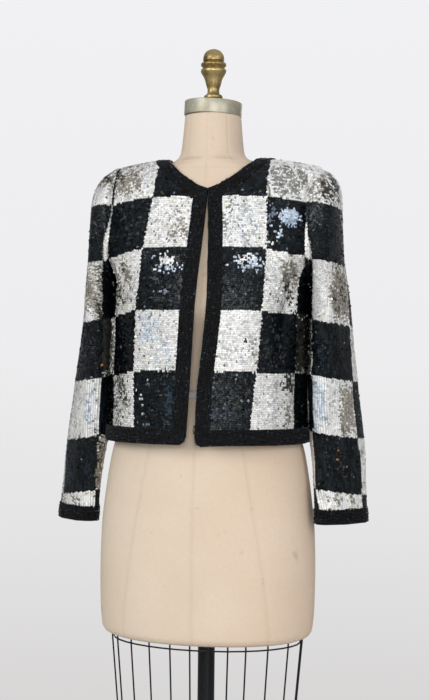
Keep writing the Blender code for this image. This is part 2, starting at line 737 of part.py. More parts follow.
def build_sleeve(is_left):
    """Build one sleeve and its cuff border."""
    name = "left" if is_left else "right"
    sign = np.array([1.0 if is_left else -1.0, 1.0, 1.0])
    rings = [armhole_ring()] + [ring_points(ring, is_left) for ring in SLEEVE_RINGS]
    rings.insert(1, seat_ring(rings[0], rings[1]))
    columns = 2 * ARM_ROWS
    points = [np.array(point) * sign for ring in rings for point in ring]
    faces = list(grid_faces(len(rings), columns, closed=True))
    flip = not is_left
    mesh = surface_mesh(f"sleeve_{name}", points, faces, flip)
    thick_shell(f"sleeve_{name}", mesh, SEQUINS, WALL)
    first_cuff = len(rings) - CUFF_RINGS
    cuff = [face for face in faces if face[0] // columns >= first_cuff]
    raised = lifted(points, point_normals(points, faces, flip, False))
    mesh = surface_mesh(f"cuff_border_{name}", raised, cuff, flip)
    thick_shell(f"cuff_border_{name}", mesh, BEADS, BORDER_WALL)


def build_torso():
    """Build the dress form: a closed loft of level sections from its underside to its neck."""
    points = []
    for section in TORSO_SECTIONS:
        for k in range(TORSO_SIDES):
            angle = 2 * math.pi * k / TORSO_SIDES
            across, ahead = math.sin(angle), -math.cos(angle)
            far_y = section.front_y if ahead < 0 else section.back_y
            depth = abs(far_y - section.centre_y)
            x = section.half_width * math.copysign(abs(across) ** (2 / section.power), across)
            y = section.centre_y + depth * math.copysign(abs(ahead) ** (2 / section.power), ahead)
            points.append((x, y, section.height))
    faces = list(grid_faces(len(TORSO_SECTIONS), TORSO_SIDES, closed=True))
    top = (len(TORSO_SECTIONS) - 1) * TORSO_SIDES
    faces.append(tuple(reversed(range(TORSO_SIDES))))
    faces.append(tuple(range(top, top + TORSO_SIDES)))
    mesh = surface_mesh("form_torso", points, faces, False)
    obj = add_object("form_torso", mesh, LINEN)
    for polygon in mesh.polygons:
        polygon.use_smooth = len(polygon.vertices) == 4
    return obj


def turned_piece(name, profile, sides, place, finish):
    """Add a solid of revolution from its profile, which runs top to bottom on its outer side."""
    mesh = bpy.data.meshes.new(name)
    edges = [(k, k + 1) for k in range(len(profile) - 1)]
    mesh.from_pydata([(radius, 0.0, height) for radius, height in profile], edges, [])
    obj = add_object(name, mesh, finish)
    obj.location = place
    screw = obj.modifiers.new("turn", "SCREW")
    screw.steps = sides
    screw.render_steps = sides
    screw.use_merge_vertices = True
    screw.merge_threshold = MERGE
    screw.use_smooth_shade = True
    return obj


def wire(name, points, radius, finish, closed=False):
    """Add a round wire through the points."""
    curve = bpy.data.curves.new(name, "CURVE")
    curve.dimensions = "3D"
    curve.bevel_depth = radius
    curve.bevel_resolution = 1
    curve.use_fill_caps = not closed
    spline = curve.splines.new("POLY")
    spline.points.add(len(points) - 1)
    for item, point in zip(spline.points, points):
        item.co = (*point, 1.0)
    spline.use_cyclic_u = closed
    return add_object(name, curve, finish)


def cage_place(angle, share, outset):
    """Return a place round the cage: its angle from the front, its size share and its outset."""
    x = math.sin(angle) * (CAGE_HALF_WIDTH * share + outset)
    y = -math.cos(angle) * (CAGE_HALF_DEPTH * share + outset)
    return x, y


def build_cage():
    """Build the cage's two rings and the wires that hang outside them from the form."""
    beside = 2 * CAGE_WIRE_RADIUS + REST
    turns = [2 * math.pi * k / RING_SIDES for k in range(RING_SIDES)]
    for name, height, share in CAGE_RINGS:
        ring = [(*cage_place(turn, share, 0.0), height) for turn in turns]
        wire(name, ring, CAGE_WIRE_RADIUS, BLACK_STEEL, closed=True)
    top_z = TORSO_SECTIONS[0].height - REST
    for number, degrees in enumerate(WIRE_ANGLES, 1):
        angle = math.radians(degrees)
        x, y = cage_place(angle, 1.0, beside)
        low_x, low_y = cage_place(angle, CAGE_LOW_SHARE, beside)
        points = [(x, y, top_z), (x, y, CAGE_TOP_Z), (low_x, low_y, CAGE_LOW_Z)]
        wire(f"cage_wire_{number:02d}", points, CAGE_WIRE_RADIUS, BLACK_STEEL)


def build_stand():
    """Build the pole, its cast base, the neck cap and the finial."""
    pole_top = TORSO_SECTIONS[0].height - REST
    pole_bottom = BASE_TOP_Z + REST
    bpy.ops.mesh.primitive_cylinder_add(
        vertices=POLE_SIDES, radius=POLE_RADIUS, depth=pole_top - pole_bottom,
        location=(0.0, 0.0, (pole_top + pole_bottom) / 2),
    )
    pole = bpy.context.object
    pole.name = "pole"
    pole.data.materials.append(make_material(BLACK_STEEL))
    for owner in list(pole.users_collection):
        owner.objects.unlink(pole)
    bpy.data.collections[COLLECTION].objects.link(pole)
    turned_piece("base", BASE_PROFILE, BASE_SIDES, (0.0, 0.0, 0.0), BLACK_STEEL)
    turned_piece("neck_cap", CAP_PROFILE, CAP_SIDES, (0.0, NECK_Y, CAP_Z), GREY_METAL)
    finial_z = CAP_Z + CAP_PROFILE[0][1]
    turned_piece("finial", FINIAL_PROFILE, FINIAL_SIDES, (0.0, NECK_Y, finial_z), BRASS)


def main():
    """Clear the scene and build every piece."""
    for obj in list(bpy.data.objects):
        bpy.data.objects.remove(obj, do_unlink=True)
    bpy.context.scene.collection.children.link(bpy.data.collections.new(COLLECTION))
    for is_left in (True, False):
        build_front(is_left)
        build_sleeve(is_left)
    build_back()
    build_torso()
    build_stand()
    build_cage()


main()
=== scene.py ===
"""A sequin jacket on its dress form: the looks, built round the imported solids.

Frame: metres, +Z up. The form faces -Y and its left side is +X.
"""
import logging
import math
from dataclasses import dataclass, field
from enum import Enum
from typing import Any, NamedTuple, Optional, Sequence

import bmesh
import bpy
import numpy as np
from mathutils import Matrix, Vector


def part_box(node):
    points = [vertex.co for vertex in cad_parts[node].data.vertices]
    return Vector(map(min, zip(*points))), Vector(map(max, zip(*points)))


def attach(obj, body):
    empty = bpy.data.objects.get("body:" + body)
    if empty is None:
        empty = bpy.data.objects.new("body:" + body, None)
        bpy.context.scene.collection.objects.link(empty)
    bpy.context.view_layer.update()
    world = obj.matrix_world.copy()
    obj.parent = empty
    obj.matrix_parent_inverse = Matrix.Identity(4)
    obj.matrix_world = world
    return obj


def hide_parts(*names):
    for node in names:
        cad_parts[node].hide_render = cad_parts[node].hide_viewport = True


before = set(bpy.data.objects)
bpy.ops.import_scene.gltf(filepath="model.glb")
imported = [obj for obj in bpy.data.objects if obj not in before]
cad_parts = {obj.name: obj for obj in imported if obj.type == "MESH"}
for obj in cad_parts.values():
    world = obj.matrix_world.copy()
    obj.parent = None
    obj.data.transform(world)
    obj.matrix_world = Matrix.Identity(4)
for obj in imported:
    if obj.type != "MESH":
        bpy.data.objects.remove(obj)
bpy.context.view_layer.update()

LOG = logging.getLogger("jacket")
BODY = "root"

# Jacket pattern, as the solids have it
WALL = 0.002
SEAM = 0.0003
HEM_LIFT = 0.0035
HEM_DIP_RUN = 0.060
CHEST_Z = 1.300
UNDERARM_Z = 1.245
RIDGE_Z = 1.4590
RIDGE_PEAK_X = 0.085
RIDGE_FALL = 1.72
ARMHOLE_X = 0.1665
BODY_POWER = 2.35
HEM_LINES = (0.0, 0.013, 0.026)
HEM_BORDER = HEM_LINES[-1]
EDGE_LINES = (0.0, 0.012, 0.024)
EDGE_BORDER = EDGE_LINES[-1]
CORNER_RADIUS = 0.013
NECK_X = 0.080
NECK_FRONT_Z = 1.402
NECK_BACK_Z = 1.435
NECK_CURVE = 0.62
CORNER_CLEAR = 0.032
CROWN_LEAN = 0.30
LEAN_START_Z = 1.06
LEAN_END_Z = 1.30
LEAN = 0.005
LEFT_CUFF_LIFT = 0.008
CUFF_LIFT_START_Z = 1.20
SEAT_RUN = 0.0035
SEAT_SHARE = 0.10
SIDE_ROWS = 9
ARM_ROWS = 12
FRONT_COLUMNS = 9
FRONT_EDGE_ROWS = 5
YOKE_ROW = 6
BACK_COLUMNS = 10
YOKE_COLUMNS = 4
NECK_STEPS = 80
LATTICE_ROWS = 260
LATTICE_STEPS = 240
ARMHOLE_STEPS = 400
MITRE_LIMIT = 0.3
TINY = 1e-9
REACH = 0.002
GRID_S = 0.300
GRID_COLUMNS = 301

# Checks: their widths, the rows' starts up the body, and the slant of the sleeves' rows
CHECK_W = 0.075
INNER_CHECK_W = 0.125
ROW_STARTS = (0.0295, 0.1225, 0.2225, 0.3303, 0.4266)
DROOP_START_S = 0.085
DROOP_END_S = 0.165
SLEEVE_SLANT = 0.19
SLEEVE_SLANT_X = 0.210

# Sequins: shape, spacing on a string and between strings, and how they hang
SEQUIN_SIDES = 7
SEQUIN_RADIUS = 0.0026
SEQUIN_DISH = 0.00022
SEQUIN_STEP = 0.0027
STRING_STEP = 0.0035
STRING_WAVE = 0.0005
SEQUIN_LIFT = 0.0009
SEQUIN_JITTER = 0.00022
SLEEVE_JITTER = 0.09
FIRST_STRING_GAP = 0.0016
LAST_STRING_GAP = 0.0008
STRING_START_GAP = 0.0014
SLEEVE_START_GAP = 0.0002
UNDERARM_GAP = 0.001
SEAM_REACH = 0.0032
SHINGLE = 0.20
SHINGLE_SWAY = 0.10
LOOSE_SHARE = 0.06
LOOSE_TILT = 0.42
FLAT_TILT = 0.08

# Sequins' light: knots of sheen along a string, which sway their slant and are painted into their
# colour, waves that gather them, and a painted shadow on the lower edge
BODY_KNOTS = 80
SLEEVE_KNOTS = 60
SLEEVE_KNOTS_RUN = 0.6
SLEEVE_STRINGS = 85
CLUMP_WAVES = np.array([[430.0, 90.0, 260.0], [-140.0, 60.0, 560.0], [260.0, 80.0, 90.0]])
SEQUIN_SHADE = 0.70
BRIGHT_LIMITS = (0.25, 1.25)
SPECK_SHARE = 0.018
WARM_SHARE = 0.08
SPARK_SHARE = 0.002
GLINT_FRAY = 0.18
GLINT_SPREAD = 0.62
SILVER = np.array([[0.97, 0.97, 0.925]])
BLACK = np.array([[0.0056, 0.0082, 0.0102]])
SPECK = np.array([0.16, 0.15, 0.125])
WARM = np.array([0.86, 0.84, 0.77])

# Beads and the bands under them
BEAD_SIDES = 4
BEAD_RADIUS = 0.00115
BEAD_LENGTH = 0.0025
BEAD_SHOULDER = 0.22
BEAD_STEP = 0.0026
BEAD_STRINGS = 11
BEAD_TILT = 0.22
BEAD_SWELL = 0.00055
BEAD_JITTER = 0.00028
BEAD_SEAT = 0.55
BEAD_WAVES = np.array([[410.0, 260.0, 530.0], [-330.0, 190.0, 290.0]])
# Beads whose random draw passes this are painted with a glint
BEAD_LIT_FROM = 0.93
HEM_END_GAP = 0.001
NECK_END_GAP = 0.0008
NECK_TOP_GAP = 0.0006
BEAD_SPREAD = 0.0003
BEAD_WAVE = 0.0007
BEAD_WAVE_RUN = 0.0062
BEAD_WAVE_TURN = 0.6
BEAD_MARGIN = BEAD_RADIUS * 0.6
NECK_REACH = 0.004
BAND_LIFT = WALL + SEAM
BAND_WALL = 0.0014
BEAD_LIFT = BAND_LIFT + BAND_WALL + BEAD_RADIUS * BEAD_SEAT

# The loose loop of beads at the left front's edge
LOOP_BEADS = 12
LOOP_T = 0.0285
LOOP_EDGE_T = 0.028
LOOP_OUT = 0.0012
LOOP_HALF_S = 0.0014
LOOP_HALF_T = 0.0062

# Meshes: how fine the cloth is, the seed of chance, and the mirror of the form's left
REFINE = 4
BAND_CELLS = REFINE * 2
CLOTH_STEP = 3
CUFF_STEP = 2
JOIN_REACH = 0.00005
SLEEVE_FILL = 0.80
FRONT_FACING = -0.1
SEED = 1992
MIRROR = np.array([-1.0, 1.0, 1.0])


class Level(NamedTuple):
    """One level round the jacket's body."""

    height: float
    half_width: float
    front_y: float
    side_y: float
    back_y: float


BODY_LEVELS = tuple(Level(*row) for row in (
    (0.9765, 0.1705, -0.145, 0.0, 0.12),
    (1.02, 0.1685, -0.1435, 0.0, 0.115),
    (1.06, 0.1665, -0.142, 0.001, 0.112),
    (1.14, 0.1665, -0.144, 0.003, 0.1135),
    (1.2, 0.1668, -0.145, 0.006, 0.1165),
    (1.245, 0.167, -0.135, 0.01, 0.121),
    (1.3, 0.205, -0.113, 0.014, 0.127),
    (1.3517, 0.215, -0.09, 0.018, 0.1225),
    (1.4053, 0.223, -0.066, 0.018, 0.1095),
    (1.4342, 0.23, -0.045, 0.018, 0.092),
    (1.4443, 0.232, -0.034, 0.018, 0.08),
    (1.4507, 0.233, -0.022, 0.018, 0.066),
    (1.4551, 0.234, -0.011, 0.018, 0.052),
    (1.4574, 0.2345, 0.001, 0.018, 0.039),
    (1.459, 0.235, 0.018, 0.018, 0.018),
))


class EdgePoint(NamedTuple):
    """Where the two front edges lie at one height, as distances to the form's left."""

    height: float
    right_front_x: float
    left_front_x: float


FRONT_EDGES = tuple(EdgePoint(*row) for row in (
    (0.977, -0.0085, 0.0065), (1.067, -0.004, 0.0088), (1.14, -0.001, 0.0155),
    (1.21, 0.0014, 0.0203), (1.29, 0.0027, 0.015), (1.402, 0.0034, 0.0042),
))


class Fold(NamedTuple):
    """A soft trough from its start to its end; a negative depth makes it a ridge.

    On the body the places are pattern coordinates. On a sleeve they are the distance
    round from its outer side, measured forward, and the height.
    """

    start_s: float
    start_t: float
    end_s: float
    end_t: float
    depth: float
    width: float


FRONT_LEFT_FOLDS = tuple(Fold(*row) for row in (
    (0.178, 0.325, 0.146, 0.13, 0.0075, 0.019), (0.205, 0.215, 0.19, 0.045, 0.0035, 0.016),
    (0.052, 0.26, 0.08, 0.13, 0.002, 0.022), (0.15, 0.345, 0.118, 0.2, -0.0022, 0.011),
    (0.125, 0.16, 0.138, 0.015, -0.0018, 0.01), (0.06, 0.43, 0.15, 0.395, 0.0012, 0.013),
    (0.04, 0.13, 0.052, 0.01, 0.0012, 0.014),
))
FRONT_RIGHT_FOLDS = tuple(Fold(*row) for row in (
    (0.188, 0.33, 0.186, 0.11, 0.008, 0.017), (0.15, 0.19, 0.16, 0.04, 0.003, 0.018),
    (0.07, 0.235, 0.06, 0.09, 0.002, 0.024), (0.158, 0.34, 0.15, 0.18, -0.002, 0.012),
    (0.118, 0.15, 0.112, 0.02, -0.0016, 0.011), (0.07, 0.425, 0.15, 0.4, 0.0012, 0.012),
))
BACK_FOLDS = tuple(Fold(*row) for row in (
    (0.17, 0.33, 0.15, 0.1, 0.006, 0.02), (0.07, 0.21, 0.085, 0.04, 0.0035, 0.024),
    (0.125, 0.36, 0.115, 0.22, 0.0018, 0.014), (0.03, 0.12, 0.022, 0.005, 0.0016, 0.015),
    (0.118, 0.12, 0.124, 0.0, -0.0018, 0.013),
))
SLEEVE_FOLDS = tuple(Fold(*row) for row in (
    (0.06, 1.34, 0.05, 0.9, -0.003, 0.01), (0.02, 1.3, 0.012, 1.09, 0.0024, 0.012),
    (0.095, 1.2, 0.03, 1.12, 0.0026, 0.012), (0.1, 1.13, 0.04, 1.075, 0.0022, 0.01),
    (0.01, 1.06, 0.006, 0.9, 0.0018, 0.01), (-0.055, 1.32, -0.05, 1.1, 0.0026, 0.015),
    (-0.09, 1.19, -0.03, 1.13, 0.0028, 0.013), (-0.07, 1.08, -0.045, 0.92, -0.002, 0.012),
    (-0.13, 1.16, -0.08, 1.09, 0.0024, 0.012),
))


class Ring(NamedTuple):
    """One ring round a sleeve, from the armhole down; the turn is in degrees."""

    outer_x: float
    outer_z: float
    inner_x: float
    inner_z: float
    centre_y: float
    half_depth: float
    turn: float
    right_trim: float = 0.0


SLEEVE_RINGS = tuple(Ring(*row) for row in (
    (0.18, 1.4425, 0.1738, 1.244, 0.0105, 0.082, 0.0, 0.003),
    (0.198, 1.4325, 0.1745, 1.2395, 0.01, 0.0825, 0.0, 0.007),
    (0.209, 1.42, 0.1745, 1.234, 0.01, 0.082, 0.0, 0.008),
    (0.2145, 1.403, 0.1742, 1.227, 0.0095, 0.08, 0.0, 0.0085),
    (0.2165, 1.36, 0.1742, 1.21, 0.0095, 0.077, 2.0, 0.007),
    (0.219, 1.3, 0.1746, 1.19, 0.01, 0.0735, 5.0, 0.0045),
    (0.2305, 1.22, 0.1756, 1.16, 0.0115, 0.068, 10.0, 0.0065),
    (0.236, 1.15, 0.1786, 1.12, 0.013, 0.064, 16.0, 0.0045),
    (0.24, 1.095, 0.1806, 1.085, 0.014, 0.06, 22.0, 0.0025),
    (0.2438, 1.04, 0.1862, 1.038, 0.0135, 0.0575, 28.0, 0.0015),
    (0.2485, 0.99, 0.1885, 0.9895, 0.0115, 0.055, 33.0, 0.001),
    (0.25, 0.94, 0.198, 0.94, 0.007, 0.053, 38.0, 0.001),
    (0.249, 0.893, 0.2055, 0.893, 0.002, 0.0515, 42.0),
    (0.2515, 0.864, 0.2062, 0.864, -0.001, 0.0505, 43.0),
    (0.2525, 0.851, 0.2066, 0.851, -0.0025, 0.0502, 43.5),
    (0.2533, 0.838, 0.2069, 0.838, -0.004, 0.05, 44.0),
))
CUFF_RINGS = 3
FOLD_RADIUS = 0.05


class Glint(NamedTuple):
    """A patch on the jacket's front where the light the sequins catch or lose is painted into their
    colour.

    The places and sizes are in metres across and up, and the share is of its sequins.
    """

    x: float
    z: float
    half_x: float
    half_z: float
    share: float
    tone: str


# The painted tints that are seen only in silver checks
SILVER_TONES = ("tan", "ash", "pearl", "dark", "white", "sky")

# Sequins' painted light: the colour that each painted highlight, reflection and shade gives, and
# how far it is silver
TONES = {
    "sky": (0.78, 0.88, 1.00, 1.0),
    "flash": (1.00, 1.00, 1.00, 0.6),
    "gleam": (0.70, 0.80, 0.95, 0.8),
    "blue": (0.50, 0.62, 0.77, 1.0),
    "navy": (0.020, 0.042, 0.070, 0.2),
    "steel": (0.22, 0.27, 0.33, 0.8),
    "amber": (0.80, 0.36, 0.06, 0.8),
    "tan": (0.43, 0.40, 0.345, 1.0),
    "ash": (0.38, 0.385, 0.36, 1.0),
    "pearl": (0.68, 0.72, 0.76, 1.0),
    "white": (1.00, 1.00, 0.98, 1.0),
    "dark": (0.06, 0.06, 0.05, 0.6),
    "smoke": (0.055, 0.057, 0.06, 0.3),
}


@dataclass(frozen=True)
class Checks:
    """How the checks lie on one panel, read at the rows' starts.

    The widths are of the first and the second column, and the droops say how far the rows
    hang lower beside the armhole.
    """

    first: tuple
    second: tuple
    droops: tuple


LEFT_CHECKS = Checks(
    first=(0.065, 0.070, 0.067, 0.072, 0.0745), second=(0.086, 0.082, 0.076, 0.075, 0.075),
    droops=(0.0, 0.003, 0.0055, 0.011, 0.006),
)
RIGHT_CHECKS = Checks(
    first=(0.070, 0.079, 0.082, 0.078, 0.0700), second=(0.057, 0.066, 0.075, 0.075, 0.075),
    droops=(0.0, 0.0105, 0.010, 0.0145, 0.0065),
)
BACK_CHECKS = Checks(
    first=(0.0375,) * 5, second=(0.075,) * 5, droops=(0.0, 0.005, 0.007, 0.009, 0.006),
)


class SleeveEdge(NamedTuple):
    """The main checks' two edges on a sleeve, as turns in degrees from its outer side.

    The place runs from 0 at the armhole to 1 at the cuff's end.
    """

    place: float
    inner: float
    outer: float


LEFT_SLEEVE_EDGES = tuple(SleeveEdge(*row) for row in (
    (0.0, 90.0, -37.5), (0.091, 101.3, -34.0), (0.123, 106.9, -32.6), (0.219, 123.8, -28.0),
    (0.365, 123.8, -22.5), (0.438, 123.8, -10.0), (0.48, 118.0, -3.8), (0.594, 99.4, -9.4),
    (0.639, 96.5, -9.4), (0.708, 92.8, -15.0), (0.772, 93.6, -30.0), (0.827, 86.3, -33.8),
    (0.872, 76.9, -33.8), (1.0, 76.9, -33.8),
))
RIGHT_SLEEVE_EDGES = tuple(SleeveEdge(*row) for row in (
    (0.0, 84.4, -26.2), (0.091, 93.8, -26.2), (0.123, 99.4, -26.2), (0.219, 120.0, -26.2),
    (0.457, 118.1, -26.2), (0.594, 101.2, -26.2), (0.712, 90.0, -26.2), (0.827, 90.0, -26.2),
    (0.895, 93.8, -26.2), (1.0, 93.8, -26.2),
))
LEFT_SLEEVE_ROWS = (0.9009, 0.9946, 1.0890, 1.1811, 1.2800, 1.3735)
RIGHT_SLEEVE_ROWS = (0.8869, 0.9804, 1.0790, 1.1784, 1.2765, 1.3705)


class Part(Enum):
    """The kinds of cloth on the jacket."""

    SEQUIN = "sequin"
    BORDER = "border"


def unit(vectors: np.ndarray) -> np.ndarray:
    """Return the vectors at length one."""
    return vectors / np.maximum(np.linalg.norm(vectors, axis=-1, keepdims=True), TINY)


def run_along(steps: np.ndarray) -> np.ndarray:
    """Return the distance run before each step and after the last."""
    return np.concatenate([[0.0], np.cumsum(steps)])


def smooth(knots: Any, values: Any, at: Any) -> np.ndarray:
    """Return the monotone cubic through some values.

    Args:
        knots: The places of the values, rising.
        values: The values.
        at: The places to read.

    Returns:
        The curve's values at those places.
    """
    knots, values, at = (np.asarray(v, float) for v in (knots, values, at))
    step = np.diff(knots)
    slope = np.diff(values) / step
    inner = np.where(slope[:-1] * slope[1:] > 0, 2 * slope[:-1] * slope[1:], 0.0)
    inner = inner / np.where(np.abs(slope[:-1] + slope[1:]) > 0, slope[:-1] + slope[1:], 1.0)
    tangent = np.concatenate([slope[:1], inner, slope[-1:]])
    cell = np.clip(np.searchsorted(knots, at, side="right") - 1, 0, len(step) - 1)
    share = np.clip((at - knots[cell]) / step[cell], 0.0, 1.0)
    rise = share * share * (3 - 2 * share)
    start_bend = share * (1 - share) ** 2 * step[cell] * tangent[cell]
    end_bend = share * share * (share - 1) * step[cell] * tangent[cell + 1]
    return values[cell] * (1 - rise) + values[cell + 1] * rise + start_bend + end_bend


def ease(low: float, high: float, value: np.ndarray) -> np.ndarray:
    """Return how far a value has gone from low to high, eased at both ends."""
    share = np.clip((value - low) / (high - low), 0.0, 1.0)
    return share * share * (3 - 2 * share)


def trough_depth(folds: Sequence[Fold], s: np.ndarray, t: np.ndarray) -> np.ndarray:
    """Return how deep the folds press the cloth in.

    Args:
        folds: The folds.
        s: Places across.
        t: Places up.

    Returns:
        The depth at each place, negative on a ridge.
    """
    depth = np.zeros(np.broadcast(s, t).shape)
    for fold in folds:
        run_s, run_t = fold.end_s - fold.start_s, fold.end_t - fold.start_t
        off_s, off_t = s - fold.start_s, t - fold.start_t
        share = (off_s * run_s + off_t * run_t) / (run_s ** 2 + run_t ** 2)
        away = (run_s * off_t - run_t * off_s) / math.hypot(run_s, run_t)
        ends = np.maximum(np.sin(math.pi * np.clip(share, 0.0, 1.0)), 0.0) ** 0.8
        depth = depth + fold.depth * ends * np.exp(-((away / fold.width) ** 2))
    return depth


def spread(start: tuple, end: tuple, count: int) -> list[tuple]:
    """Return count + 1 even places from start to end."""
    return [
        (start[0] + (end[0] - start[0]) * k / count, start[1] + (end[1] - start[1]) * k / count)
        for k in range(count + 1)
    ]


def even_path(places: Sequence, count: int) -> list[tuple]:
    """Return count + 1 places, evenly spaced along a path."""
    points = np.array(places, float)
    run = run_along(np.hypot(*np.diff(points, axis=0).T))
    even = np.linspace(0.0, run[-1], count + 1)
    return list(zip(np.interp(even, run, points[:, 0]), np.interp(even, run, points[:, 1])))


def border_lines(path: Sequence, corners: tuple = ()) -> list[list[tuple]]:
    """Return the edge, middle and inner lines of the border at each place of a neckline path."""
    rows = []
    for k, (s, t) in enumerate(path):
        before = unit(np.array(path[k]) - np.array(path[max(k - 1, 0)]))
        after = unit(np.array(path[min(k + 1, len(path) - 1)]) - np.array(path[k]))
        run = unit(before + after)
        stretch = 1.0 / max(abs(float(run @ after)), MITRE_LIMIT) if k in corners else 1.0
        rows.append([(s + run[1] * w * stretch, t - run[0] * w * stretch) for w in EDGE_LINES])
    return rows


def refined(grid: np.ndarray, factor: int) -> np.ndarray:
    """Return a grid of places with each cell divided evenly.

    Args:
        grid: Rows by columns by coordinates.
        factor: Divisions a cell.

    Returns:
        The finer grid.
    """
    for axis in (0, 1):
        count = grid.shape[axis]
        at = np.linspace(0, count - 1, (count - 1) * factor + 1)
        low = np.minimum(at.astype(int), count - 2)
        share = (at - low).reshape((-1, 1, 1) if axis == 0 else (1, -1, 1))
        grid = np.take(grid, low, axis) * (1 - share) + np.take(grid, low + 1, axis) * share
    return grid


def grid_faces(rows: int, columns: int, closed: bool = False) -> list[tuple]:
    """Return a grid's faces as vertex numbers, closed into a tube if asked."""
    faces = []
    for row in range(rows - 1):
        for column in range(columns if closed else columns - 1):
            after = (column + 1) % columns
            low, high = row * columns, (row + 1) * columns
            faces.append((low + column, low + after, high + after, high + column))
    return faces


def ridge_height(x: Any) -> Any:
    """Return the shoulder ridge's height at a distance from the centre."""
    return RIDGE_Z - RIDGE_FALL * (x - RIDGE_PEAK_X) ** 2


def level_at(centre_z: float) -> float:
    """Return the level that passes the centre line at a height above the chest."""
    lift = (centre_z - CHEST_Z) / (ridge_height(0.0) - CHEST_Z)
    return CHEST_Z + lift * (RIDGE_Z - CHEST_Z)


def leaned(places: np.ndarray) -> np.ndarray:
    """Return the places moved to the form's left, more the higher they are."""
    share = np.clip((places[..., 2] - LEAN_START_Z) / (LEAN_END_Z - LEAN_START_Z), 0.0, 1.0)
    moved = places.copy()
    moved[..., 0] += LEAN * share
    return moved


@dataclass
class Surface:
    """Places on worn cloth with their directions: along the strings, up the cloth and out."""

    place: np.ndarray
    along: np.ndarray
    up: np.ndarray
    out: np.ndarray

    def parts(self) -> tuple:
        """Return the places and the three directions."""
        return self.place, self.along, self.up, self.out


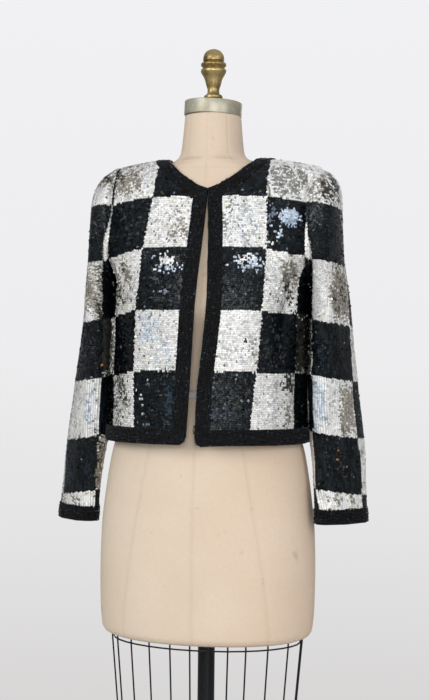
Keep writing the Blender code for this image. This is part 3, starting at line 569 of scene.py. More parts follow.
@dataclass
class BodySide:
    """The front or the back half of the jacket's body, drawn on its flat pattern."""

    is_front: bool
    folds: tuple = ()
    mirrored: bool = False

    def __post_init__(self) -> None:
        """Lay out the lattice of levels that pattern coordinates are read from."""
        table = np.array(BODY_LEVELS)
        heights, outline = table[:, 0], table[:, 2 if self.is_front else 4]
        self.level_heights = heights
        self.level_t = run_along(np.hypot(np.diff(heights), np.diff(outline)))
        self.top = float(self.level_t[-1])
        self.t = np.linspace(0.0, self.top, LATTICE_ROWS)
        half_width = smooth(self.level_t, table[:, 1], self.t)[:, None]
        side_y = smooth(self.level_t, table[:, 3], self.t)[:, None]
        depth = smooth(self.level_t, outline - table[:, 3], self.t)[:, None]
        height = smooth(self.level_t, heights, self.t)[:, None]
        angle = np.linspace(0.0, math.pi / 2, LATTICE_STEPS)[None, :]
        x = half_width * np.sin(angle) ** (2 / BODY_POWER)
        y = side_y + depth * np.maximum(np.cos(angle), 0.0) ** (2 / BODY_POWER)
        lift = np.maximum(0.0, (height - CHEST_Z) / (RIDGE_Z - CHEST_Z))
        z = np.where(height <= CHEST_Z, height, CHEST_Z + (ridge_height(x) - CHEST_Z) * lift)
        self.places = np.stack([x, y, z + 0 * x], axis=2)
        steps = np.linalg.norm(np.diff(self.places, axis=1), axis=2)
        self.s = np.array([run_along(row) for row in steps])
        even = np.linspace(0.0, GRID_S, GRID_COLUMNS)
        self.grid = np.array([
            np.stack([np.interp(even, run, row[:, k]) for k in range(3)], axis=1)
            for run, row in zip(self.s, self.places)
        ])

    def t_at(self, height: float) -> float:
        """Return t at a level's height."""
        return float(np.interp(height, smooth(self.level_t, self.level_heights, self.t), self.t))

    def s_at(self, x: float, t: float) -> float:
        """Return s where the cloth at t reaches x."""
        row = int(round(t / self.top * (LATTICE_ROWS - 1)))
        return math.copysign(float(np.interp(abs(x), self.places[row, :, 0], self.s[row])), x)

    def side_s(self, t: float) -> float:
        """Return s at the side seam or, above the underarm, at the armhole."""
        place = t / self.top * (LATTICE_ROWS - 1)
        low = int(min(place, LATTICE_ROWS - 2))
        ends = []
        for row in (low, low + 1):
            if self.places[row, -1, 0] <= ARMHOLE_X or t < self.t_at(UNDERARM_Z):
                ends.append(self.s[row, -1])
            else:
                ends.append(np.interp(ARMHOLE_X, self.places[row, :, 0], self.s[row]))
        return float(ends[0] + (ends[1] - ends[0]) * (place - low))

    def armhole(self) -> list[tuple]:
        """Return the armhole's (s, t) places from the underarm to the shoulder."""
        t = np.linspace(self.t_at(UNDERARM_Z), self.top, ARMHOLE_STEPS)
        s = np.array([self.side_s(value) for value in t])
        places = self.flat(s, t)
        run = run_along(np.linalg.norm(np.diff(places, axis=0), axis=1))
        even = np.linspace(0.0, run[-1], ARM_ROWS + 1)
        return list(zip(np.interp(even, run, s), np.interp(even, run, t)))

    def flat(self, s: Any, t: Any) -> np.ndarray:
        """Return places on the worn jacket without its folds."""
        s, t = np.broadcast_arrays(np.asarray(s, float), np.asarray(t, float))
        row = np.clip(t / self.top, 0.0, 1.0) * (LATTICE_ROWS - 1)
        column = np.clip(np.abs(s) / GRID_S, 0.0, 1.0) * (GRID_COLUMNS - 1)
        low_r = np.minimum(row.astype(int), LATTICE_ROWS - 2)
        low_c = np.minimum(column.astype(int), GRID_COLUMNS - 2)
        part_r, part_c = (row - low_r)[..., None], (column - low_c)[..., None]
        first, second = (
            self.grid[row, low_c] * (1 - part_c) + self.grid[row, low_c + 1] * part_c
            for row in (low_r, low_r + 1)
        )
        place = first * (1 - part_r) + second * part_r
        place[..., 0] *= np.where(s < 0, -1.0, 1.0)
        return place

    def flat_normal(self, s: Any, t: Any) -> np.ndarray:
        """Return the outward directions of the cloth without its folds."""
        across = self.flat(s + REACH, t) - self.flat(s - REACH, t)
        up = self.flat(s, t + REACH) - self.flat(s, t - REACH)
        return unit(np.cross(across, up)) * (1.0 if self.is_front else -1.0)

    def worn(self, s: Any, t: Any) -> np.ndarray:
        """Return places on the worn cloth's inner side, folds and lean included."""
        depth = trough_depth(self.folds, np.abs(s), t)
        place = self.flat(s, t) - self.flat_normal(s, t) * depth[..., None]
        if self.mirrored:
            place[..., 0] *= -1.0
        return leaned(place)

    def surface(self, s: Any, t: Any, lift: float = 0.0) -> Surface:
        """Return worn places with their directions.

        Args:
            s: Places across.
            t: Places up.
            lift: How far out from the cloth's inner side.

        Returns:
            The places and their directions.
        """
        s, t = np.asarray(s, float), np.asarray(t, float)
        along = unit(self.worn(s + REACH, t) - self.worn(s - REACH, t))
        up = unit(self.worn(s, t + REACH) - self.worn(s, t - REACH))
        turn = (1.0 if self.is_front else -1.0) * (-1.0 if self.mirrored else 1.0)
        out = unit(np.cross(along, up)) * turn
        up = unit(up - along * np.sum(up * along, axis=-1, keepdims=True))
        return Surface(self.worn(s, t) + out * lift, along, up, out)


def low_levels(under_t: float) -> list[float]:
    """Return t at the rows from the hem, along its border and on up to the underarm."""
    border = [HEM_LIFT + line for line in HEM_LINES]
    return border + list(np.linspace(border[-1], under_t, SIDE_ROWS + 1)[1:])


def hem_dip(s: Any, t: Any, is_left: bool) -> Any:
    """Return how much lower the left front hangs near its edge."""
    if not is_left:
        return 0.0 * np.asarray(s)
    beside = np.maximum(0.0, 1.0 - np.asarray(s) / HEM_DIP_RUN)
    above = np.maximum(0.0, 1.0 - (np.asarray(t) - HEM_LIFT) / (2 * HEM_DIP_RUN))
    return HEM_LIFT * beside * above


def check_column(beyond: np.ndarray, t: np.ndarray, checks: Checks) -> np.ndarray:
    """Return the number of the check column.

    Args:
        beyond: Distances from where the first column starts.
        t: Places up.
        checks: How the checks lie.

    Returns:
        The column's number, 0 for the first.
    """
    first = np.interp(t, ROW_STARTS, checks.first)
    second = first + np.interp(t, ROW_STARTS, checks.second)
    return (beyond >= first) + (beyond >= second).astype(int) + (beyond >= second + CHECK_W)


def inside_corner(along: np.ndarray, across: np.ndarray) -> np.ndarray:
    """Return True where a place lies inside the rounded corner of front edge and hem."""
    beyond = np.hypot(CORNER_RADIUS - along, CORNER_RADIUS - across) > CORNER_RADIUS
    return ~((along < CORNER_RADIUS) & (across < CORNER_RADIUS) & beyond)


def pulled_in(s: float, t: float) -> tuple:
    """Return a place moved off the armhole or side seam by half a seam's gap."""
    return (s - SEAM / 2, t)


@dataclass
class FrontPattern:
    """One front's pattern: its side of the body and its rows of places."""

    is_left: bool

    def __post_init__(self) -> None:
        """Draw the rows, from the hem up."""
        folds = FRONT_LEFT_FOLDS if self.is_left else FRONT_RIGHT_FOLDS
        self.side = side = BodySide(True, folds, not self.is_left)
        table = np.array(FRONT_EDGES)
        edge_x = table[:, 2] if self.is_left else -table[:, 1]
        self.edge_t = np.linspace(0.0, side.top, LATTICE_ROWS)
        heights = np.interp(self.edge_t, side.level_t, side.level_heights)
        edges = smooth(table[:, 0], edge_x, heights)
        self.edge_s = np.array([side.s_at(float(x), t) for x, t in zip(edges, self.edge_t)])
        under_t = side.t_at(UNDERARM_Z)
        rows = []
        for t in low_levels(under_t):
            start = self.edge(t) + EDGE_BORDER
            end = pulled_in(side.side_s(t), t)
            row = self.beside_edge(t) + spread((start, t), end, FRONT_COLUMNS)[1:]
            rows.append([(s, t - float(hem_dip(s, t, self.is_left))) for s, t in row])
        self.neck_t = side.t_at(level_at(NECK_FRONT_Z))
        path = even_path(self.neckline(edge_x[-1]), ARM_ROWS - FRONT_EDGE_ROWS)
        path[0] = (self.edge(self.neck_t), self.neck_t)
        self.neck_path = path
        last_low = self.neck_t - CORNER_CLEAR
        starts = [self.beside_edge(t) for t in np.linspace(under_t, last_low, FRONT_EDGE_ROWS)[1:]]
        turned = border_lines([(self.edge(last_low), last_low)] + path, corners=(1,))[1:]
        turned[-1] = [(path[-1][0] + w, side.top) for w in EDGE_LINES]
        for start, end in zip(starts + turned, side.armhole()[1:]):
            rows.append(start + spread(start[-1], pulled_in(*end), FRONT_COLUMNS)[1:])
        rows[-1] = [(s, side.top - SEAM / 2) for s, _ in rows[-1]]
        inset = CORNER_RADIUS * (1 - math.sqrt(0.5))
        rows[0][0] = (rows[0][0][0] + inset, rows[0][0][1] + inset)
        self.rows = np.array(rows)

    def edge(self, t: Any) -> Any:
        """Return s at the front edge."""
        return np.interp(t, self.edge_t, self.edge_s)

    def beside_edge(self, t: float) -> list[tuple]:
        """Return the border's places across the front edge at t."""
        return [(float(self.edge(t)) + w, t) for w in EDGE_LINES]

    def neckline(self, start_x: float) -> list[tuple]:
        """Return the neckline's fine path from the front edge to the shoulder."""
        base = level_at(NECK_FRONT_Z)
        path = []
        for rise in np.linspace(0.0, 1.0, NECK_STEPS):
            t = self.side.t_at(base + (RIDGE_Z - base) * rise)
            x = start_x + (NECK_X - start_x) * rise ** NECK_CURVE
            path.append((self.side.s_at(x, t), t))
        path[-1] = (self.side.s_at(NECK_X, self.side.top), self.side.top)
        return path


@dataclass
class BackPattern:
    """The back's pattern: its side of the body and its lower and yoke grids."""

    def __post_init__(self) -> None:
        """Draw the two grids for the left half."""
        self.side = side = BodySide(False, BACK_FOLDS)
        under_t = side.t_at(UNDERARM_Z)
        arm = [pulled_in(*place) for place in side.armhole()]
        lower = [
            spread((0.0, t), pulled_in(side.side_s(t), t), BACK_COLUMNS)
            for t in low_levels(under_t)
        ]
        yoke_t = arm[YOKE_ROW][1]
        for k in range(1, YOKE_ROW + 1):
            centre_t = under_t + (yoke_t - under_t) * k / YOKE_ROW
            lower.append(spread((0.0, centre_t), arm[k], BACK_COLUMNS))
        base_t = side.t_at(level_at(NECK_BACK_Z))
        curve = []
        for turn in np.linspace(0.0, math.pi / 2, NECK_STEPS):
            t = base_t + (side.top - base_t) * (1 - math.cos(turn))
            curve.append((side.s_at(NECK_X * math.sin(turn), t), t))
        self.neck_path = path = even_path(curve, BACK_COLUMNS + ARM_ROWS - YOKE_ROW)
        lines = border_lines(path)
        lines[0] = [(0.0, path[0][1] - w) for w in EDGE_LINES]
        lines[-1] = [(path[-1][0] + w, side.top) for w in EDGE_LINES]
        ends = lower[-1] + arm[YOKE_ROW + 1:]
        yoke = [line + spread(line[-1], end, YOKE_COLUMNS)[1:] for line, end in zip(lines, ends)]
        yoke[-1] = [(s, side.top - SEAM / 2) for s, _ in yoke[-1]]
        self.lower, self.yoke = np.array(lower), np.array(yoke)


@dataclass
class SleevePattern:
    """One sleeve's form: rings from the armhole down, drawn fine, with its folds."""

    is_left: bool
    fine_rows: int = 220
    fine_columns: int = 192

    def __post_init__(self) -> None:
        """Lay out the fine places, their directions and their distances."""
        rings = [self.armhole_ring()] + [self.ring_points(ring) for ring in SLEEVE_RINGS]
        armhole, crown = np.array(rings[0]), np.array(rings[1])
        run = np.array([SEAT_RUN, 0.0, 0.0])
        rings.insert(1, armhole + run + (crown - armhole) * SEAT_SHARE)
        self.rings = np.array(rings)
        count, columns = self.rings.shape[:2]
        self.cuff_row = (count - CUFF_RINGS) / (count - 1)
        at = np.linspace(0, count - 1, self.fine_rows)
        tall = np.stack([
            np.stack([smooth(np.arange(count), self.rings[:, c, k], at) for k in range(3)], axis=1)
            for c in range(columns)
        ], axis=1)
        spins = np.linspace(0, columns, self.fine_columns, endpoint=False)
        low = spins.astype(int)
        share = (spins - low)[None, :, None]
        p0, p1, p2, p3 = (tall[:, (low + k) % columns] for k in (-1, 0, 1, 2))
        fine = p1 + 0.5 * share * (
            p2 - p0 + share * (2 * p0 - 5 * p1 + 4 * p2 - p3 + share * (3 * (p1 - p2) + p3 - p0))
        )
        if not self.is_left:
            fine[..., 0] *= -1.0
        out = self.outward(fine)
        ahead = np.linspace(0.0, 2 * math.pi, self.fine_columns, endpoint=False)
        ahead = np.where(ahead > math.pi, ahead - 2 * math.pi, ahead)
        depth = trough_depth(SLEEVE_FOLDS, ahead[None, :] * FOLD_RADIUS, fine[..., 2])
        self.places = leaned(fine - out * depth[..., None])
        self.out = self.outward(self.places)
        wrap = np.concatenate([self.places, self.places[:, :1]], axis=1)
        steps = np.linalg.norm(np.diff(wrap, axis=1), axis=2)
        self.round = np.array([run_along(row) for row in steps])

    def ring_points(self, ring: Ring) -> np.ndarray:
        """Return the points round one ring, from the outer side by the front."""
        trim = 0.0 if self.is_left else ring.right_trim
        outer = np.array([ring.outer_x - trim, 0.0, ring.outer_z])
        inner = np.array([ring.inner_x, 0.0, ring.inner_z])
        if self.is_left:
            fall = (CUFF_LIFT_START_Z - np.array([ring.outer_z, ring.inner_z])).clip(0.0)
            lift = LEFT_CUFF_LIFT * fall / (CUFF_LIFT_START_Z - SLEEVE_RINGS[-1].outer_z)
            outer[2] += lift[0]
            inner[2] += lift[1]
        centre = (outer + inner) / 2 + np.array([0.0, ring.centre_y, 0.0])
        half = (outer - inner) / 2
        out = unit(half)
        turn = math.radians(ring.turn)
        ahead = np.array([0.0, -1.0, 0.0])
        wide = out * math.cos(turn) + ahead * math.sin(turn)
        deep = ahead * math.cos(turn) - out * math.sin(turn)
        angle = math.pi * np.arange(2 * ARM_ROWS)[:, None] / ARM_ROWS
        reach = np.linalg.norm(half) * np.cos(angle) * wide
        return centre + reach + ring.half_depth * np.sin(angle) * deep

    def armhole_ring(self) -> np.ndarray:
        """Return the first ring: the armhole, clear of the panels' outer edges."""
        front, back = BodySide(True), BodySide(False)
        ring = []
        for side, places in ((front, front.armhole()[::-1]), (back, back.armhole()[1:-1])):
            s, t = (np.array(values) for values in zip(*places))
            lean = np.maximum(0.0, side.flat_normal(s, t)[:, 0])
            place = side.flat(s, t)
            place[:, 0] = ARMHOLE_X + SEAM + WALL * (lean + CROWN_LEAN)
            ring.append(place)
        return np.concatenate(ring)

    def outward(self, places: np.ndarray) -> np.ndarray:
        """Return the outward directions of the fine places."""
        around = np.roll(places, -1, axis=1) - np.roll(places, 1, axis=1)
        down = np.gradient(places, axis=0)
        out = unit(np.cross(around, down))
        return out if self.is_left else -out

    def check_edges(self) -> tuple:
        """Return the main checks' inner and outer edges as fine columns, at each fine row."""
        edges = np.array(LEFT_SLEEVE_EDGES if self.is_left else RIGHT_SLEEVE_EDGES)
        share = np.linspace(0.0, 1.0, self.fine_rows)
        inner = smooth(edges[:, 0], edges[:, 1], share) * self.fine_columns / 360.0
        outer = smooth(edges[:, 0], edges[:, 2], share) * self.fine_columns / 360.0
        return inner, outer

    def along_round(self, column: np.ndarray) -> np.ndarray:
        """Return the distances round each fine row to its column, which may be negative."""
        count = self.fine_columns
        places = np.arange(count + 1)
        full = self.round[:, -1]
        turned = column % count
        found = np.array([np.interp(value, places, row) for value, row in zip(turned, self.round)])
        return found + (column - turned) / count * full

    def column_at(self, rows: np.ndarray, away: np.ndarray) -> np.ndarray:
        """Return the fine columns at distances round some fine rows."""
        columns = np.arange(self.fine_columns + 1)
        return np.array([
            np.interp(value, self.round[row], columns) for row, value in zip(rows, away)
        ])

    def at(self, row: np.ndarray, column: np.ndarray) -> tuple:
        """Return the places and outward directions at fractional rows and columns."""
        low_r = np.clip(row.astype(int), 0, self.fine_rows - 2)
        low_c = np.floor(column).astype(int)
        part_r, part_c = (row - low_r)[:, None], (column - low_c)[:, None]
        c0, c1 = low_c % self.fine_columns, (low_c + 1) % self.fine_columns
        found = []
        for grid in (self.places, self.out):
            first, second = (
                grid[r, c0] * (1 - part_c) + grid[r, c1] * part_c for r in (low_r, low_r + 1)
            )
            found.append(first * (1 - part_r) + second * part_r)
        return found[0], unit(found[1])


class Wire:
    """A shader socket on which Python's operators add Math nodes."""

    def __init__(self, book: "NodeBook", socket: Any) -> None:
        """Keep the socket and the book that it belongs to."""
        self.book, self.socket = book, socket

    def _maths(self, operation: str, first: Any, second: Any) -> "Wire":
        """Add one Math node."""
        return self.book.node("ShaderNodeMath", {"operation": operation}, {0: first, 1: second})

    def __add__(self, other: Any) -> "Wire":
        """Return the sum."""
        return self._maths("ADD", self, other)

    def __mul__(self, other: Any) -> "Wire":
        """Return the product."""
        return self._maths("MULTIPLY", self, other)

    __radd__ = __add__
    __rmul__ = __mul__


class NodeBook:
    """The nodes of one material or of the world."""

    def __init__(self, name: str, owner: Any = None) -> None:
        """Start on a new material of that name, or on the owner that is given."""
        self.owner = owner or bpy.data.materials.new(name)
        self.owner.use_nodes = True
        self.tree = self.owner.node_tree

    def node(self, kind: str, settings: Optional[dict] = None, inputs: Optional[dict] = None,
             output: Any = 0) -> Wire:
        """Add a node.

        Args:
            kind: The node's type.
            settings: Values set on the node first; "stops" fills a ramp.
            inputs: Values or wires for its sockets, by name or number.
            output: The output's name or number.

        Returns:
            A wire from that output.
        """
        made = self.tree.nodes.new(kind)
        for name, value in (settings or {}).items():
            if name == "stops":
                self.fill_ramp(made.color_ramp, value)
            else:
                setattr(made, name, value)
        self.feed(made, inputs or {})
        return Wire(self, made.outputs[output])

    @staticmethod
    def fill_ramp(ramp: Any, stops: Sequence) -> None:
        """Give a ramp its stops, each a place and a grey value or a colour."""
        while len(ramp.elements) < len(stops):
            ramp.elements.new(0.5)
        for element, (place, value) in zip(ramp.elements, stops):
            element.position = place
            colour = value if isinstance(value, tuple) else (value, value, value)
            element.color = (*colour, 1.0)

    def feed(self, made: Any, inputs: dict) -> None:
        """Set or link a node's sockets."""
        for key, value in inputs.items():
            socket = made.inputs[key]
            if isinstance(value, Wire):
                self.tree.links.new(value.socket, socket)
            elif isinstance(value, tuple) and len(value) == 3 and socket.type == "RGBA":
                socket.default_value = (*value, 1.0)
            else:
                socket.default_value = value

    def place(self, scale: tuple = (1.0, 1.0, 1.0)) -> Wire:
        """Return Object coordinates, stretched if asked."""
        where = self.node("ShaderNodeTexCoord", output="Object")
        return self.node("ShaderNodeMapping", inputs={"Vector": where, "Scale": scale})

    def noise(self, scale: float, detail: float = 3.0, stretch: tuple = (1.0, 1.0, 1.0)) -> Wire:
        """Return a cloudy pattern between 0 and 1."""
        sockets = {"Vector": self.place(stretch), "Scale": scale, "Detail": detail}
        return self.node("ShaderNodeTexNoise", inputs=sockets)

    def attribute(self, name: str, output: str) -> Wire:
        """Return a piece's own attribute."""
        return self.node("ShaderNodeAttribute", {"attribute_name": name}, output=output)

    def ramp(self, value: Wire, stops: Sequence) -> Wire:
        """Return a value sent through a ramp."""
        return self.node("ShaderNodeValToRGB", {"stops": stops}, {"Fac": value})

    def mix(self, share: Any, first: Any, second: Any, blend: str = "MIX") -> Wire:
        """Return two colours mixed."""
        settings = {"data_type": "RGBA", "blend_type": blend}
        return self.node("ShaderNodeMix", settings, {0: share, 6: first, 7: second}, output=2)

    def bump(self, height: Wire, depth: float, strength: float = 1.0) -> Wire:
        """Return a normal bent by a height pattern."""
        return self.node("ShaderNodeBump", inputs={
            "Strength": strength, "Distance": depth, "Height": height})

    def finish(self, **sockets: Any) -> bpy.types.Material:
        """Feed the Principled shader, with _ for the spaces in its sockets' names."""
        shader = self.tree.nodes["Principled BSDF"]
        self.feed(shader, {name.replace("_", " "): value for name, value in sockets.items()})
        return self.owner


@dataclass(frozen=True)
class SequinFinish:
    """Sequins, tinted one by one with their painted light and shade, with tarnish and a fine grain.
    """

    name: str = "sequins"

    def build(self) -> bpy.types.Material:
        """Return the material."""
        book = NodeBook(self.name)
        tone, mask = book.attribute("tone", "Color"), book.attribute("silver", "Fac")
        tarnish = book.ramp(book.noise(900.0, 2.0), ((0.30, 0.62), (0.48, 1.0)))
        colour = book.mix(mask * 0.9, tone, tarnish, "MULTIPLY")
        cloud = book.noise(60.0, 2.0)
        return book.finish(
            Base_Color=colour, Metallic=mask * 0.20,
            Roughness=cloud * 0.16 + (0.07 + mask * 0.24), Specular_IOR_Level=0.23,
            Normal=book.bump(book.noise(1500.0, 1.0), 0.0002, 0.5),
        )


@dataclass(frozen=True)
class BeadFinish:
    """Small black glass beads, with painted shadow in cloudy patches."""

    name: str = "black_beads"

    def build(self) -> bpy.types.Material:
        """Return the material."""
        book = NodeBook(self.name)
        cloud = book.noise(190.0, 4.0)
        # Painted shadow: cloudy darker patches over the beads
        shadow = book.ramp(cloud, ((0.40, (0.10, 0.11, 0.12)), (0.64, 1.0)))
        colour = book.mix(1.0, book.attribute("tone", "Color"), shadow, "MULTIPLY")
        return book.finish(Base_Color=colour, Roughness=cloud * 0.60 + 0.02,
                           Specular_IOR_Level=0.30)


@dataclass(frozen=True)
class GroundClothFinish:
    """The black cloth that carries the sequins and beads."""

    name: str = "black_ground_cloth"

    def build(self) -> bpy.types.Material:
        """Return the material."""
        book = NodeBook(self.name)
        weave = book.noise(1400.0, 2.0, (1.0, 1.0, 0.4))
        stops = ((0.3, (0.002, 0.002, 0.0025)), (0.7, (0.005, 0.005, 0.006)))
        colour = book.ramp(book.noise(40.0), stops)
        return book.finish(Base_Color=colour, Roughness=weave * 0.15 + 0.78, Specular_IOR_Level=0.2,
                           Normal=book.bump(weave, 0.0003, 0.6))


@dataclass(frozen=True)
class LinenFinish:
    """Aged linen with a fine weave and faint stains, with a painted light tint that is yellower on
    one side.
    """

    name: str = "form_linen"

    def build(self) -> bpy.types.Material:
        """Return the material."""
        book = NodeBook(self.name)
        where = book.node("ShaderNodeTexCoord", output="Object")
        across = book.node("ShaderNodeSeparateXYZ", inputs={0: where}, output=0)
        # Painted light: the tint changes across the form, yellower on its right side and pinker on
        # its left
        side = book.ramp(across * 2.4 + 0.5, (
            (0.0, (0.665, 0.575, 0.455)), (0.5, (0.655, 0.54, 0.425)), (1.0, (0.68, 0.54, 0.415)),
        ))
        age = book.ramp(book.noise(7.0, 4.0), ((0.30, (0.93, 0.90, 0.86)), (0.72, 1.0)))
        spots = book.ramp(book.noise(34.0, 3.0), ((0.24, (0.80, 0.70, 0.60)), (0.33, 1.0)))
        warp = book.noise(900.0, 1.0, (1.0, 1.0, 0.12))
        weft = book.noise(900.0, 1.0, (0.12, 0.12, 1.0))
        weave = warp * 0.5 + weft * 0.5
        grain = book.ramp(weave, ((0.30, (0.93, 0.92, 0.90)), (0.65, 1.0)))
        colour = book.mix(1.0, side, age, "MULTIPLY")
        colour = book.mix(0.7, colour, spots, "MULTIPLY")
        colour = book.mix(1.0, colour, grain, "MULTIPLY")
        colour = book.mix(book.attribute("seam", "Fac") * 0.20, colour, (0.42, 0.33, 0.25))
        return book.finish(Base_Color=colour, Roughness=weave * 0.12 + 0.74,
                           Normal=book.bump(weave, 0.0004, 0.55))


@dataclass(frozen=True)
class MetalFinish:
    """A worn metal: its light and dark colours, roughness and how much of it is worn."""

    name: str
    light: tuple
    dark: tuple
    metallic: float
    roughness: float
    cloud_scale: float
    bump: float = 0.0003

    def build(self) -> bpy.types.Material:
        """Return the material."""
        book = NodeBook(self.name)
        cloud = book.noise(self.cloud_scale, 5.0)
        fine = book.noise(self.cloud_scale * 9, 2.0)
        worn = cloud * 0.75 + fine * 0.25
        colour = book.ramp(worn, ((0.36, self.dark), (0.60, self.light)))
        return book.finish(Base_Color=colour, Metallic=self.metallic, Specular_IOR_Level=0.3,
                           Roughness=fine * 0.22 + (self.roughness - 0.11),
                           Normal=book.bump(worn, self.bump, 0.6))


@dataclass(frozen=True)
class TapeFinish:
    """Clear grey tape round the waist."""

    name: str = "waist_tape"

    def build(self) -> bpy.types.Material:
        """Return the material."""
        book = NodeBook(self.name)
        cloud = book.noise(60.0, 3.0, (1.0, 1.0, 3.0))
        colour = book.ramp(cloud, ((0.35, (0.38, 0.365, 0.36)), (0.7, (0.62, 0.60, 0.59))))
        return book.finish(Base_Color=colour, Roughness=cloud * 0.2 + 0.25)


@dataclass(frozen=True)
class FloorFinish:
    """A plain pale floor, clear at its rim."""

    name: str = "floor"

    def build(self) -> bpy.types.Material:
        """Return the material."""
        book = NodeBook(self.name)
        stops = ((0.3, (0.68, 0.675, 0.67)), (0.7, (0.71, 0.705, 0.70)))
        return book.finish(Base_Color=book.ramp(book.noise(1.2), stops), Roughness=0.8,
                           Alpha=book.attribute("solid", "Fac"))


def linked(name: str, data: Any) -> bpy.types.Object:
    """Return a new object with that data, in the scene."""
    obj = bpy.data.objects.new(name, data)
    bpy.context.scene.collection.objects.link(obj)
    return obj


def mesh_object(name: str, points: np.ndarray, faces: Sequence,
                material: bpy.types.Material) -> bpy.types.Object:
    """Return a new smooth object made of points and faces.

    Args:
        name: The object's name.
        points: Its places.
        faces: Its faces as vertex numbers.
        material: Its material.

    Returns:
        The object, in the scene.
    """
    mesh = bpy.data.meshes.new(name)
    mesh.from_pydata([tuple(point) for point in points], [], [tuple(face) for face in faces])
    mesh.update()
    mesh.materials.append(material)
    mesh.polygons.foreach_set("use_smooth", [True] * len(mesh.polygons))
    return linked(name, mesh)


def dress(obj: bpy.types.Object, node: str = "") -> None:
    """Let a piece ride on the body, in place of a solid if it stands for one."""
    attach(obj, BODY)
    if node:
        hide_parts(node)
    LOG.info("%s: %d faces", obj.name, len(obj.data.polygons))


def select_only(obj: bpy.types.Object) -> None:
    """Select one object alone and make it the active one."""
    bpy.ops.object.select_all(action="DESELECT")
    obj.select_set(True)
    bpy.context.view_layer.objects.active = obj


def joined_doubles(obj: bpy.types.Object, distance: float) -> None:
    """Merge an object's points that lie within a distance."""
    work = bmesh.new()
    work.from_mesh(obj.data)
    bmesh.ops.remove_doubles(work, verts=work.verts, dist=distance)
    work.to_mesh(obj.data)
    work.free()


def thickened(obj: bpy.types.Object, wall: float) -> None:
    """Give an open cloth surface its wall, going outward, and apply it."""
    solidify = obj.modifiers.new("wall", "SOLIDIFY")
    solidify.thickness = wall
    solidify.offset = 1.0
    select_only(obj)
    bpy.ops.object.modifier_apply(modifier=solidify.name)


def surface_area(obj: bpy.types.Object) -> float:
    """Return half of a thin shell's surface, which is the cloth's area."""
    areas = np.zeros(len(obj.data.polygons))
    obj.data.polygons.foreach_get("area", areas)
    return float(areas.sum()) / 2


class Repeat:
    """Many copies of one small shape, joined in one mesh."""

    def __init__(self, corners: np.ndarray, faces: Sequence[tuple]) -> None:
        """Keep the shape's corners, in along, up and out parts, and its faces."""
        self.corners, self.faces = corners, faces

    def scatter(self, name: str, spots: Surface, material: bpy.types.Material, smooth_shade: bool,
                values: Optional[dict] = None, shade: float = 0.0) -> bpy.types.Object:
        """Return an object with one copy of the shape at each spot.

        Args:
            name: The object's name.
            spots: The places and directions.
            material: The material.
            smooth_shade: True to shade it smooth.
            values: Numbers or colours for each copy, by attribute name.
            shade: How much darker each copy's colour is at its lower edge, a painted shadow where
                the string above overlaps it.

        Returns:
            The object.
        """
        count, size = len(spots.place), len(self.corners)
        verts = (
            spots.place[:, None]
            + self.corners[None, :, 0:1] * spots.along[:, None]
            + self.corners[None, :, 1:2] * spots.up[:, None]
            + self.corners[None, :, 2:3] * spots.out[:, None]
        )
        mesh = bpy.data.meshes.new(name)
        mesh.vertices.add(count * size)
        mesh.vertices.foreach_set("co", verts.astype(np.float32).ravel())
        sizes = np.array([len(face) for face in self.faces])
        flat = np.concatenate([np.array(face) for face in self.faces])
        loops = (np.arange(count)[:, None] * size + flat[None, :]).ravel()
        mesh.loops.add(len(loops))
        mesh.loops.foreach_set("vertex_index", loops.astype(np.int32))
        mesh.polygons.add(count * len(self.faces))
        starts = np.concatenate([[0], np.cumsum(np.tile(sizes, count))[:-1]])
        mesh.polygons.foreach_set("loop_start", starts.astype(np.int32))
        mesh.polygons.foreach_set("use_smooth", [smooth_shade] * (count * len(self.faces)))
        mesh.update(calc_edges=True)
        for key, value in (values or {}).items():
            is_colour = value.ndim == 2
            layer = mesh.attributes.new(key, "FLOAT_COLOR" if is_colour else "FLOAT", "POINT")
            spread_out = np.repeat(value, size, axis=0).astype(np.float32)
            if is_colour:
                # Painted shadow: each copy's colour darker towards its lower edge
                low = np.clip(-self.corners[:, 1] / SEQUIN_RADIUS, 0.0, 1.0)
                spread_out[:, :3] *= np.tile(1.0 - shade * low, count)[:, None]
            layer.data.foreach_set("color" if is_colour else "value", spread_out.ravel())
        mesh.materials.append(material)
        return linked(name, mesh)


def sequin_shape() -> Repeat:
    """Return a round sequin, a little dished, facing out."""
    corners = [(0.0, 0.0, -SEQUIN_DISH)]
    for k in range(SEQUIN_SIDES):
        turn = 2 * math.pi * k / SEQUIN_SIDES
        corners.append((SEQUIN_RADIUS * math.cos(turn), SEQUIN_RADIUS * math.sin(turn), 0.0))
    faces = [(0, k + 1, (k + 1) % SEQUIN_SIDES + 1) for k in range(SEQUIN_SIDES)]
    return Repeat(np.array(corners), faces)


def bead_shape() -> Repeat:
    """Return a small faceted bead that lies along its string."""
    corners = [(-BEAD_LENGTH / 2, 0.0, 0.0), (BEAD_LENGTH / 2, 0.0, 0.0)]
    for place in (-BEAD_SHOULDER, BEAD_SHOULDER):
        for k in range(BEAD_SIDES):
            turn = 2 * math.pi * k / BEAD_SIDES
            across, out = BEAD_RADIUS * math.cos(turn), BEAD_RADIUS * math.sin(turn)
            corners.append((BEAD_LENGTH * place, across, out))
    faces = []
    for k in range(BEAD_SIDES):
        near, after = 2 + k, 2 + (k + 1) % BEAD_SIDES
        faces += [
            (0, after, near), (1, near + BEAD_SIDES, after + BEAD_SIDES),
            (near, after, after + BEAD_SIDES, near + BEAD_SIDES),
        ]
    return Repeat(np.array(corners), faces)


